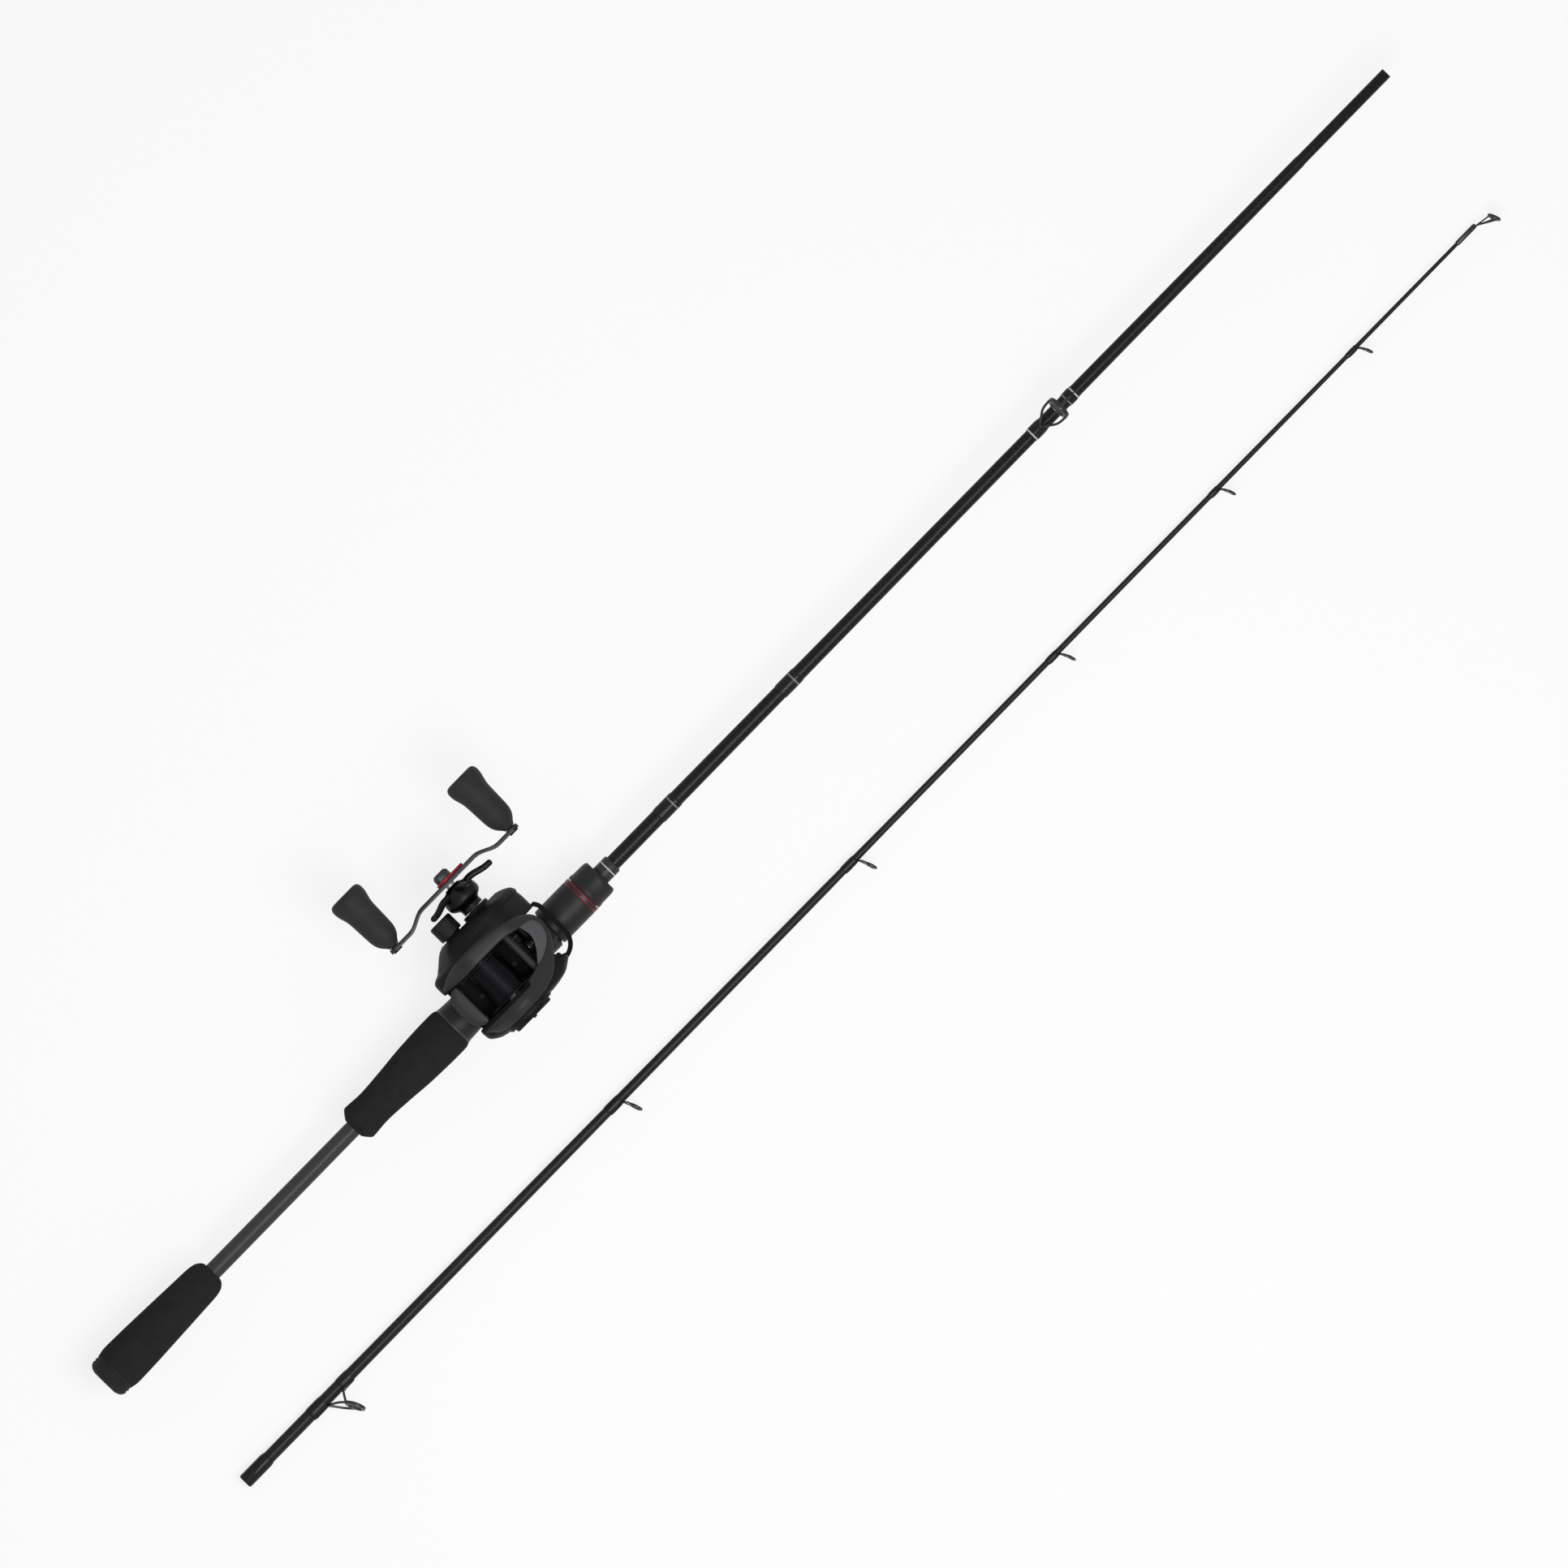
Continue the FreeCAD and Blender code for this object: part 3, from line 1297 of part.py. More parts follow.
def make_spool_shaft():
    palm_end = -d.palm_room_end + 1.5
    step = palm_joint - 2
    node("spool_shaft", lathe("spool_shaft", "Y", [
        (palm_end, 0),
        (palm_end, d.shaft_palm_radius),
        (step, d.shaft_palm_radius),
        (step, d.spool_shaft_radius),
        (d.spool_crank_face - 1.5, d.spool_shaft_radius),
        (d.spool_crank_face - 1.5, d.shaft_thin_radius),
        (d.shaft_end, d.shaft_thin_radius),
        (d.shaft_end, 0),
    ], at_spool))


def make_brake_rotor():
    disc = palm_joint - 0.6
    node("brake_rotor", lathe("brake_rotor", "Y", [
        (disc, d.spool_shaft_radius),
        (disc, d.rotor_radius),
        (disc + d.rotor_thickness, d.rotor_radius),
        (disc + d.rotor_thickness, d.spool_shaft_radius + 1.4),
        (-d.spool_palm_face - 0.4, d.spool_shaft_radius + 1.4),
        (-d.spool_palm_face - 0.4, d.spool_shaft_radius),
    ], at_spool))


def make_brake_magnets():
    """The ring in the palm cover that carries the magnets facing the rotor."""
    floor = -d.palm_room_end
    seat = floor + 3.2
    ring = lathe("magnet_ring", "Y", [
        (floor, d.magnet_ring_bore),
        (floor, d.magnet_ring_radius),
        (seat, d.magnet_ring_radius),
        (seat, d.magnet_ring_bore),
    ], at_spool)
    middle = (d.magnet_ring_radius + d.magnet_ring_bore) / 2
    magnets = []
    for number in range(SIZES["magnet_count"]):
        angle = 2 * math.pi * number / SIZES["magnet_count"]
        spot = (d.spool_x + middle * math.cos(angle), d.spool_z + middle * math.sin(angle))
        magnets.append(cylinder("Y", spot, d.magnet_radius, seat, seat + 1.8))
    node("brake_magnets", fuse("brake_magnets", ring, *magnets))


def make_brake_dial():
    near = -d.palm_cover_face - d.loose_gap
    far = near - d.dial_thickness
    disc = lathe("brake_dial_disc", "Y", [
        (near + 1.7, 0),
        (near + 1.7, d.dial_stub_radius),
        (near, d.dial_stub_radius),
        (near, d.dial_radius),
        (far + 0.6, d.dial_radius),
        (far, d.dial_radius - 1),
        (far, 0),
    ], at_spool)
    flutes(disc, "XZ_Plane", "Y_Axis", d.dial_radius + 0.2, d.flute_radius, 36)
    reach = d.dial_radius - 2
    rib = box((d.spool_x - 1.2, d.spool_x + 1.2), (far - d.dial_rib, far),
              (d.spool_z - reach, d.spool_z + reach))
    node("brake_dial", fuse("brake_dial", disc, rib))


def bearing(name, at, bore, outside, start, width):
    return lathe(name, "Y", [
        (start, bore + d.running_gap),
        (start, outside),
        (start + width, outside),
        (start + width, bore + d.running_gap),
    ], at)


def make_bearings():
    width = d.bearing_width
    wall = d.crank_wall_inside
    cast = d.cast_boss_end - 6.6
    palm = -d.palm_room_end + 1.4
    node("ball_bearings", group(
        "ball_bearings",
        bearing("pinion_bearing", at_spool, d.pinion_hub_radius, d.wall_bearing_radius, wall, width),
        bearing("drive_bearing", at_drive, d.drive_radius, d.drive_bearing_radius, wall, width),
        bearing("cast_bearing", at_spool, d.shaft_thin_radius, d.shaft_bearing_radius, cast, width),
        bearing("palm_bearing", at_spool, d.shaft_palm_radius, d.shaft_bearing_radius, palm, width),
    ))
    node("anti_reverse_bearing", bearing("anti_reverse_bearing", at_drive, d.sleeve_radius,
                                         d.clutch_bearing_radius, d.clutch_bearing_start,
                                         d.clutch_bearing_width))


# ---- Reel: gears and drive train -----------------------------------------------------------

PRESSURE_ANGLE = math.radians(20)


def toothed_wheel(module, teeth, shift, width, bore, toward):
    """An involute spur wheel round the Y axis, with a tooth pointing at the angle toward."""
    pitch = module * teeth / 2
    base = pitch * math.cos(PRESSURE_ANGLE)
    tip = pitch + module * (1 + shift) - 0.04
    root = pitch - module * (1.25 - shift)
    thickness = module * (math.pi / 2 + 2 * shift * math.tan(PRESSURE_ANGLE)) - d.gear_backlash.value
    involute = math.tan(PRESSURE_ANGLE) - PRESSURE_ANGLE

    def half_tooth(radius):
        roll = math.sqrt(max((radius / base) ** 2 - 1, 0))
        return thickness / (2 * pitch) + involute - (roll - math.atan(roll))

    def spot(radius, angle):
        return vector(radius * math.cos(angle), 0, radius * math.sin(angle))

    start = max(base, root)
    middle = (start + tip) / 2
    edges = []
    step = 2 * math.pi / teeth
    for number in range(teeth):
        centre = toward + number * step
        low, mid, high = half_tooth(start), half_tooth(middle), half_tooth(tip)
        up = [spot(start, centre - low), spot(middle, centre - mid), spot(tip, centre - high)]
        down = [spot(tip, centre + high), spot(middle, centre + mid), spot(start, centre + low)]
        foot = spot(root, centre + low)
        following = spot(root, centre + step - low)
        if root < start:
            edges.append(Part.LineSegment(spot(root, centre - low), up[0]).toShape())
        edges.append(Part.Arc(*up).toShape())
        edges.append(Part.Arc(up[2], spot(tip, centre), down[0]).toShape())
        edges.append(Part.Arc(*down).toShape())
        if root < start:
            edges.append(Part.LineSegment(down[2], foot).toShape())
        edges.append(Part.Arc(foot, spot(root, centre + step / 2), following).toShape())
    rim = Part.Face(Part.Wire(edges)).extrude(vector(0, width, 0))
    return rim.cut(Part.makeCylinder(bore, width * 2, vector(0, -width / 2, 0), vector(0, 1, 0)))


def direction(start, end):
    """The angle in the XZ plane from one axis to another."""
    return math.atan2(end[1].value - start[1].value, end[0].value - start[0].value)


def make_main_gear():
    teeth = SIZES["main_teeth"]
    wheel = toothed_wheel(d.gear_module.value, teeth, -d.gear_shift.value, d.main_gear_width.value,
                          d.drive_radius.value, direction(drive_axis, spool_axis))
    node("main_gear", shaped("main_gear", wheel, (d.drive_x, d.main_gear_start, drive_z)))


def make_pinion_gear():
    """The pinion on the spool's shaft: hub in the wall bearing, teeth, neck for the yoke."""
    teeth = SIZES["pinion_teeth"]
    bore = d.pinion_bore_radius
    gap_first = direction(spool_axis, drive_axis) + math.pi / teeth
    wheel = toothed_wheel(d.gear_module.value, teeth, d.gear_shift.value, d.pinion_face.value,
                          bore.value, gap_first)
    start = d.main_gear_start + (d.main_gear_width - d.pinion_face) / 2
    end = start + d.pinion_face
    core = d.gear_module * (d.pinion_teeth / 2 - 1.25 + d.gear_shift) - 0.1
    collar = d.yoke_start + d.yoke_thickness + 0.9
    hub = lathe("pinion_hub", "Y", [
        (d.crank_wall_inside + 0.2, bore),
        (d.crank_wall_inside + 0.2, d.pinion_hub_radius),
        (start, d.pinion_hub_radius),
        (start, core),
        (end, core),
        (end, d.pinion_neck_radius),
        (collar, d.pinion_neck_radius),
        (collar, d.pinion_hub_radius + 0.2),
        (collar + 1.2, d.pinion_hub_radius + 0.2),
        (collar + 1.2, bore),
    ], at_spool)
    teeth_ring = shaped("pinion_teeth_ring", wheel, (d.spool_x, start, d.spool_z))
    node("pinion_gear", fuse("pinion_gear", hub, teeth_ring))


def make_clutch_yoke():
    """The fork that holds the pinion's neck, on the frame's two posts."""
    reach = -d.yoke_post_reach
    rise = d.yoke_post_rise
    ear = d.yoke_post_radius + 1.3
    start = d.yoke_start
    end = start + d.yoke_thickness
    plate = slab("yoke_plate", "Y", start, end, at=at_spool,
                 circles=[(reach, -rise, ear), (0, 0, d.pinion_neck_radius + 2.9), (reach, rise, ear)])
    grip = d.pinion_neck_radius + d.loose_gap
    holes = [cylinder("Y", spool_axis, grip, start, end),
             box((d.spool_x, d.spool_x + 8), (start, end), (d.spool_z - grip, d.spool_z + grip))]
    for side in (-1, 1):
        spot = (d.spool_x + reach, d.spool_z + side * rise)
        holes.append(cylinder("Y", spot, d.yoke_post_radius, start, end))
    node("clutch_yoke", cut("clutch_yoke", plate, *holes))


def make_drive_shaft():
    radius = d.drive_radius
    start = d.crank_wall_inside + 0.2
    end = d.arm_seat + d.arm_thickness + d.plate_thickness + d.crank_nut_height - 0.6
    collar = d.wind_gear_start + d.wind_gear_width
    node("drive_shaft", lathe("drive_shaft", "Y", [
        (start, 0),
        (start, radius),
        (collar, radius),
        (collar, radius + 2),
        (d.main_gear_start, radius + 2),
        (d.main_gear_start, radius),
        (end, radius),
        (end, 0),
    ], at_drive))


def make_drag_stack():
    """Drag washers on the main gear, and the sleeve that presses on them."""
    start = d.main_gear_start + d.main_gear_width
    washers = []
    for number in range(SIZES["drag_washer_count"]):
        low = start + number * d.drag_washer
        radius = d.drag_radius - (0.8 if number % 2 else 0)
        washers.append(lathe(f"drag_washer_{number}", "Y", [
            (low, d.drive_radius),
            (low, radius),
            (low + d.drag_washer, radius),
            (low + d.drag_washer, d.drive_radius),
        ], at_drive))
    node("drag_washers", group("drag_washers", *washers))
    plate = start + d.drag_washer_count * d.drag_washer
    end = d.clutch_boss_end + 0.2
    node("anti_reverse_sleeve", lathe("anti_reverse_sleeve", "Y", [
        (plate, d.drive_radius),
        (plate, d.drag_radius - 3),
        (plate + 0.9, d.drag_radius - 3),
        (plate + 0.9, d.sleeve_radius),
        (end, d.sleeve_radius),
        (end, d.drive_radius),
    ], at_drive))
    node("spring_washers", lathe("spring_washers", "Y", [
        (end, d.drive_radius),
        (end + 0.5, d.spring_radius),
        (end + d.spring_thickness, d.drive_radius + 1.5),
        (end + d.spring_thickness, d.drive_radius),
    ], at_drive))


def make_star_drag():
    """A domed hub on the drive shaft's thread, with arms that droop towards the reel."""
    hub_radius = d.star_hub_radius
    foot = d.star_foot_radius
    room = d.spring_radius + 0.7
    room_end = d.clutch_boss_end + d.spring_thickness + 1.5
    bore = d.drive_radius + d.running_gap
    hub = lathe("star_hub", "Y", [
        (d.star_start, room),
        (d.star_start, foot),
        (room_end + 0.3, foot),
        (room_end + 2.4, hub_radius - 1),
        (room_end + 5, hub_radius),
        (room_end + 8.6, hub_radius - 0.5),
        (d.star_arm_end - 0.6, hub_radius - 3.2),
        (d.star_hub_end, foot - 2.2),
        (d.star_hub_end, bore),
        (room_end, bore),
        (room_end, room),
    ], at_drive)
    reach = d.star_arm_reach + d.star_arm_radius
    low = d.star_arm_start
    top = d.star_arm_end
    arms = []
    for number in range(SIZES["star_arm_count"]):
        turn = FreeCAD.Rotation(vector(0, 1, 0), 360 * number / SIZES["star_arm_count"])
        plan = slab(f"star_arm_plan_{number}", "Y", low - 1, top + 1, at=at_drive, turn=turn,
                    circles=[(hub_radius - 3.5, 0, d.star_arm_radius + 0.9),
                             (d.star_arm_reach, 0, d.star_arm_radius)])
        side = slab(f"star_arm_side_{number}", "Z", -d.star_arm_radius * 2, d.star_arm_radius * 2,
                    at=at_drive, turn=turn, points=[
                        (foot, top - 4),
                        (hub_radius + 2, top - 3.6),
                        (reach * 0.75, low + 0.2),
                        (reach - 1, low),
                        (reach + 1, low + 1),
                        (reach - 1, low + 2.6),
                        (reach * 0.75, top - 1.7),
                        (hub_radius + 1, top - 0.2),
                        (foot, top),
                    ])
        arms.append(common(f"star_arm_{number}", plan, side))
    node("star_drag", fuse("star_drag", hub, *arms))


# ---- Reel: crank and its grips -------------------------------------------------------------

def make_crank_arm():
    """A flat bar swept towards the reel at both ends in a smooth bend, with holes to lighten it."""
    half = d.knob_spacing / 2
    tip = half + d.arm_end_radius + 1
    seat = d.arm_seat
    low = seat - d.arm_drop
    steps = 6
    bend = [(d.arm_bend_end, low)]
    for number in range(1, steps):
        share = number / steps
        bend.append((d.arm_bend_end + (d.arm_bend_start - d.arm_bend_end) * share,
                     low + d.arm_drop * (0.5 - math.cos(math.pi * share) / 2)))
    bend.append((d.arm_bend_start, seat))
    under = [(-tip, low)] + [(-x, y) for x, y in bend] + bend[::-1] + [(tip, low)]
    over = [(x, y + d.arm_thickness) for x, y in under]
    sweep = slab("arm_sweep", "Z", -d.arm_middle_radius, d.arm_middle_radius,
                 points=under + over[::-1], at=at_drive)
    middle = (0, 0, d.arm_middle_radius)
    outline = slab("arm_outline", "Y", low - 1, seat + d.arm_thickness + 1, at=at_drive,
                   circles=[(-half, 0, d.arm_end_radius), middle, (half, 0, d.arm_end_radius), middle])
    reach = (low - 1, seat + d.arm_thickness + 1)
    holes = [cylinder("Y", drive_axis, d.drive_radius, *reach)]
    for side in (-1, 1):
        holes.append(cylinder("Y", (d.drive_x + side * half, drive_z), d.spindle_radius, *reach))
        for share, radius in ((0.36, 2.6), (0.52, 2.2), (0.66, 1.8)):
            holes.append(cylinder("Y", (d.drive_x + side * half * share, drive_z), radius, *reach))
    node("crank_arm", cut("crank_arm", common("arm_solid", sweep, outline), *holes))


def make_crank_plate_and_nut():
    start = d.arm_seat + d.arm_thickness
    end = start + d.plate_thickness
    plate = slab("plate_solid", "Y", start, end, at=at_drive,
                 circles=[(d.plate_reach, 0, d.plate_tip_radius), (0, 0, d.plate_radius)])
    hole = cylinder("Y", drive_axis, d.drive_radius, start, end)
    node("crank_plate", cut("crank_plate", plate, hole))
    prism = doc.addObject("Part::Prism", "nut_hexagon")
    prism.Polygon = 6
    bind(prism, "Circumradius", d.crank_nut_radius)
    bind(prism, "Height", d.crank_nut_height)
    place(prism, (d.drive_x, end, drive_z), TURNS["Y"])
    top = end + d.crank_nut_height
    dome = lathe("nut_dome", "Y", [
        (end, 0),
        (end, d.crank_nut_radius),
        (top - 1.6, d.crank_nut_radius),
        (top, d.crank_nut_radius - 1.4),
        (top, 0),
    ], at_drive)
    bore = cylinder("Y", drive_axis, d.drive_radius, end, top - 0.6)
    node("crank_nut", cut("crank_nut", common("nut_solid", prism, dome), bore))


def make_knobs():
    """Two turned grips, each running on a spindle riveted into the arm."""
    low = d.arm_seat - d.arm_drop
    top = low + d.arm_thickness
    start = top + d.knob_washer + 0.1
    length = d.knob_length
    end = start + length
    bore = d.spindle_radius + d.running_gap
    spindle_end = start + length * 0.9
    waist = d.knob_waist_radius
    spindles = []
    for name, side in (("rear_knob", -1), ("front_knob", 1)):
        at = (d.drive_x + side * d.knob_spacing / 2, 0, drive_z)
        spindles.append(lathe(name + "_spindle", "Y", [
            (low - 0.8, 0),
            (low - 0.8, d.spindle_radius + 1),
            (low, d.spindle_radius + 1),
            (low, d.spindle_radius),
            (top, d.spindle_radius),
            (top, d.spindle_radius + 1.2),
            (top + d.knob_washer, d.spindle_radius + 1.2),
            (top + d.knob_washer, d.spindle_radius),
            (spindle_end, d.spindle_radius),
            (spindle_end, 0),
        ], at))
        node(name, lathe(name, "Y", [
            (start, bore),
            (start, d.knob_neck_radius),
            (start + length * 0.06, waist * 0.55),
            (start + length * 0.12, waist * 0.73),
            (start + length * 0.2, waist * 0.9),
            (start + length * 0.27, waist * 0.96),
            (start + length * 0.47, waist),
            (start + length * 0.67, waist + 0.4),
            (start + length * 0.77, waist + 1.3),
            (start + length * 0.87, d.knob_radius),
            (start + length * 0.95, d.knob_radius - 0.2),
            (end - 0.6, d.knob_radius - 1.2),
            (end, d.knob_radius - 3),
            (end, 0),
            (spindle_end + d.loose_gap, 0),
            (spindle_end + d.loose_gap, bore),
        ], at))
    node("knob_spindles", group("knob_spindles", *spindles))


def make_cast_control_knob():
    start = d.cast_knob_start
    end = d.cast_knob_end
    radius = d.cast_knob_radius
    bore = d.cast_boss_radius + d.loose_gap
    floor = d.cast_boss_end + 0.6
    knob = lathe("cast_control_knob", "Y", [
        (start, bore),
        (start, radius - 0.2),
        (start + 1.2, radius),
        (end - 0.8, radius),
        (end, radius - 0.6),
        (end, 0),
        (floor, 0),
        (floor, bore),
    ], at_spool)
    node("cast_control_knob", flutes(knob, "XZ_Plane", "Y_Axis", radius + 0.2, d.flute_radius, 28))


# ---- Reel: level wind and thumb bar --------------------------------------------------------

def make_worm_shaft():
    """The level wind's screw, with its groove, and the pair of gears that turns it."""
    journal = d.worm_journal_radius
    palm = 0.4 - d.palm_wall_inside
    crank = d.crank_wall_inside - 0.4
    bar = lathe("worm_bar", "Y", [
        (palm_wall_outside + 0.1, 0),
        (palm_wall_outside + 0.1, journal),
        (palm, journal),
        (palm, d.worm_radius),
        (crank, d.worm_radius),
        (crank, journal),
        (d.wind_gear_start + d.wind_gear_width, journal),
        (d.wind_gear_start + d.wind_gear_width, 0),
    ], at_worm)
    radius = d.worm_radius.value
    run = d.carriage_width.value * 2
    path = Part.makeHelix(run / 3, run, radius)
    section = Part.Wire([Part.makeCircle(0.45, vector(radius, 0, 0), vector(0, 1, 0))])
    groove = Part.Wire(path.Edges).makePipeShell([section], True, True)
    groove.rotate(vector(), vector(1, 0, 0), -90)
    groove.translate(vector(0, -run / 2, 0))
    thread = shaped("worm_groove", groove, (d.worm_x, d.guide_middle, worm_z))
    node("worm_shaft", cut("worm_shaft", bar, thread))
    gap_first = direction(worm_axis, drive_axis) + math.pi / SIZES["worm_teeth"]
    for name, teeth, axis, bore, toward in (
        ("worm_gear", "worm_teeth", worm_axis, journal, gap_first),
        ("wind_drive_gear", "wind_drive_teeth", drive_axis, d.drive_radius, direction(drive_axis, worm_axis)),
    ):
        wheel = toothed_wheel(d.wind_module.value, SIZES[teeth], 0, d.wind_gear_width.value,
                              bore.value, toward)
        node(name, shaped(name, wheel, (axis[0], d.wind_gear_start, axis[1])))


def make_worm_guard():
    inner = d.guard_bore_radius
    outer = d.guard_radius
    start = -d.palm_wall_inside
    end = d.crank_wall_inside
    tube = lathe("guard_tube", "Y", [(start, inner), (start, outer), (end, outer), (end, inner)], at_worm)
    half = d.guard_slot / 2
    slot = box((d.worm_x - half, d.worm_x + half), (start + 1.5, end - 1.5), (worm_z - outer, worm_z))
    node("worm_guard", cut("worm_guard", tube, slot))


def make_line_guide():
    """The carriage on the guard, with a riser that holds the line's ring, and its pawl."""
    middle = d.guide_middle
    start = middle - d.carriage_width / 2
    end = middle + d.carriage_width / 2
    bore = d.guard_radius + d.loose_gap
    outer = bore + d.carriage_wall
    slide = cylinder("Y", worm_axis, outer, start, end)
    riser_x = d.worm_x - d.riser_thickness - 0.8
    riser_end = riser_x + d.riser_thickness
    half = d.line_ring_radius - 0.9
    riser = box((riser_x, riser_end), (middle - half, middle + half), (worm_z, d.line_ring_z))
    eye = cylinder("X", (middle, d.line_ring_z), d.line_ring_radius, riser_x, riser_end)
    pawl_hole = cylinder("Z", (d.worm_x, middle), d.pawl_radius, worm_z - outer - 1, worm_z)
    cuts = [
        cylinder("Y", worm_axis, bore, start, end),
        cylinder("X", (middle, d.line_ring_z), d.line_ring_bore, riser_x, riser_end),
        pawl_hole,
    ]
    node("line_guide", cut("line_guide", fuse("guide_solid", slide, riser, eye), *cuts))
    ring = cylinder("X", (middle, d.line_ring_z), d.line_ring_bore, riser_x - 0.4, riser_end + 0.4)
    hole = cylinder("X", (middle, d.line_ring_z), d.line_hole_radius, riser_x - 0.4, riser_end + 0.4)
    node("line_guide_ring", cut("line_guide_ring", ring, hole))
    pawl_top = worm_z - d.worm_radius - 0.15
    node("pawl", cylinder("Z", (d.worm_x, middle), d.pawl_radius, worm_z - outer - 0.3, pawl_top))


def make_guide_rail():
    node("guide_rail", cylinder("Y", (d.rail_x, d.rail_z), d.rail_radius,
                                -d.palm_wall_inside, d.crank_wall_inside))


def make_thumb_bar():
    """The clutch bar behind the spool, with a leg at each end that slides by the wall."""
    corner = d.thumb_corner
    palm = d.loose_gap - d.palm_wall_inside
    crank = d.crank_wall_inside - d.loose_gap
    back = d.thumb_x - d.thumb_back
    side = (crank - palm) / 3.7
    bar = slab("thumb_top", "Z", d.thumb_bottom, d.thumb_bottom + d.thumb_thickness, circles=[
        (d.thumb_x, palm + corner, corner),
        (d.thumb_x, crank - corner, corner),
        (back + 1, d.guide_middle + side, corner),
        (back, d.guide_middle, corner),
        (back + 1, d.guide_middle - side, corner),
    ])
    legs = []
    for low, high in ((palm, palm + d.thumb_leg_width), (crank - d.thumb_leg_width, crank)):
        legs.append(box((d.thumb_x - 1.6, d.thumb_x + 1.6), (low, high),
                        (d.thumb_bottom - d.thumb_leg_depth, d.thumb_bottom + 0.5)))
    node("thumb_bar", fuse("thumb_bar", bar, *legs))


# ---- Build, check and write ----------------------------------------------------------------

for make in (
    make_butt_blank, make_butt_cap, make_rear_grip, make_main_grip, make_seat_ring, make_reel_seat,
    make_seat_arbor, make_sliding_hood, make_lock_nut, make_winding_check, make_decorative_wraps,
    make_stripper_guide, make_tip_blank, make_tip_guides, make_tip_top,
    make_reel_foot, make_reel_frame, make_crank_side_cover, make_palm_side_cover, make_nose_cover,
    make_reel_screws, make_spool, make_spool_shaft, make_brake_rotor, make_brake_magnets,
    make_brake_dial, make_bearings, make_main_gear, make_pinion_gear, make_clutch_yoke,
    make_drive_shaft, make_drag_stack, make_star_drag, make_crank_arm, make_crank_plate_and_nut,
    make_knobs, make_cast_control_knob, make_worm_shaft, make_worm_guard, make_line_guide,
    make_guide_rail, make_thumb_bar,
):
    make()

doc.recompute()
failed = [obj.Label for obj in doc.Objects if {"Invalid", "Error"} & set(obj.State)]
failed += [obj.Label for obj in nodes if obj.Shape.isNull() or not obj.Shape.isValid()]
if failed:
    raise RuntimeError("these pieces did not build: " + ", ".join(failed))

os.makedirs("parts", exist_ok=True)
for obj in nodes:
    obj.Shape.exportStep(os.path.join("parts", obj.Label + ".step"))
    print(f"{obj.Label}: {len(obj.Shape.Solids)} solid(s), {obj.Shape.Volume:.1f} mm3")
print(len(nodes), "sub-parts")
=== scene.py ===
import json
import math

import bmesh
import bpy
import numpy as np
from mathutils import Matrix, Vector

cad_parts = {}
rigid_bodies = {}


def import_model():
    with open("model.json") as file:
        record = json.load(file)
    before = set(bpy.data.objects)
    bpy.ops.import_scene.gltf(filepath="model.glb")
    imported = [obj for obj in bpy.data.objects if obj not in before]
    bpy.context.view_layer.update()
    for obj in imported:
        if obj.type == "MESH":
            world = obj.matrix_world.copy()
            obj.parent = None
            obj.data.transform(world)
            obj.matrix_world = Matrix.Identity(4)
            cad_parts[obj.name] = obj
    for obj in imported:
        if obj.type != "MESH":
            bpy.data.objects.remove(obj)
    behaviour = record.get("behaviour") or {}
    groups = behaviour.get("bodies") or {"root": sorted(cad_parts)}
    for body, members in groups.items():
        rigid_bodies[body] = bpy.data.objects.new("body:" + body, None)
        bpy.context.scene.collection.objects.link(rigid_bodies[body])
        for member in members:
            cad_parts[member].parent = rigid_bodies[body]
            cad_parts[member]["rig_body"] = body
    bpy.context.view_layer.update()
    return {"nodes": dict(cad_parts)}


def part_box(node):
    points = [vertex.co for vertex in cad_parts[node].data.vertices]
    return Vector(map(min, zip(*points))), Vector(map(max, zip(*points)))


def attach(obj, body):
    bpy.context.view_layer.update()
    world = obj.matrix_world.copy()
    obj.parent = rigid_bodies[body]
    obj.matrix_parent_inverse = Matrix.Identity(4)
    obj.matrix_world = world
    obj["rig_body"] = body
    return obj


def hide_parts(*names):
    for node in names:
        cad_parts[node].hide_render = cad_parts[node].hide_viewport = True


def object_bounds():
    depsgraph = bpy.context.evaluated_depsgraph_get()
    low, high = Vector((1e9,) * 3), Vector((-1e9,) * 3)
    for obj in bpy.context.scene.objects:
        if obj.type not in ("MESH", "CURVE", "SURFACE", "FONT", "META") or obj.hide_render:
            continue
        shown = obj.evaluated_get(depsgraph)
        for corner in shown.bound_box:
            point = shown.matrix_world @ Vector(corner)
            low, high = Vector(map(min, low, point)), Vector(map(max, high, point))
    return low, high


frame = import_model()


# ---- Blanks ----------------------------------------------------------------------------------
# The butt and tip blanks are tapered carbon tubes, rolled from cloth and baked, with crossed tape
# under a clear coat. The bare stretch behind the reel is left a paler graphite.

def ends(node, axis=0):
    """Where a frame node starts and ends along an axis, in millimetres."""
    low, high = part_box(node)
    return low[axis] * 1000, high[axis] * 1000


def quads(rows, columns, wrapped):
    """Corner numbers of a grid's faces: a point, its neighbour in the row, and the two in the next
    row."""
    row, column = np.meshgrid(np.arange(rows - 1), np.arange(columns - (not wrapped)), indexing="ij")
    beside = (column + 1) % columns
    corners = (row * columns + column, row * columns + beside,
               (row + 1) * columns + beside, (row + 1) * columns + column)
    return np.stack(corners, -1).reshape(-1, 4)


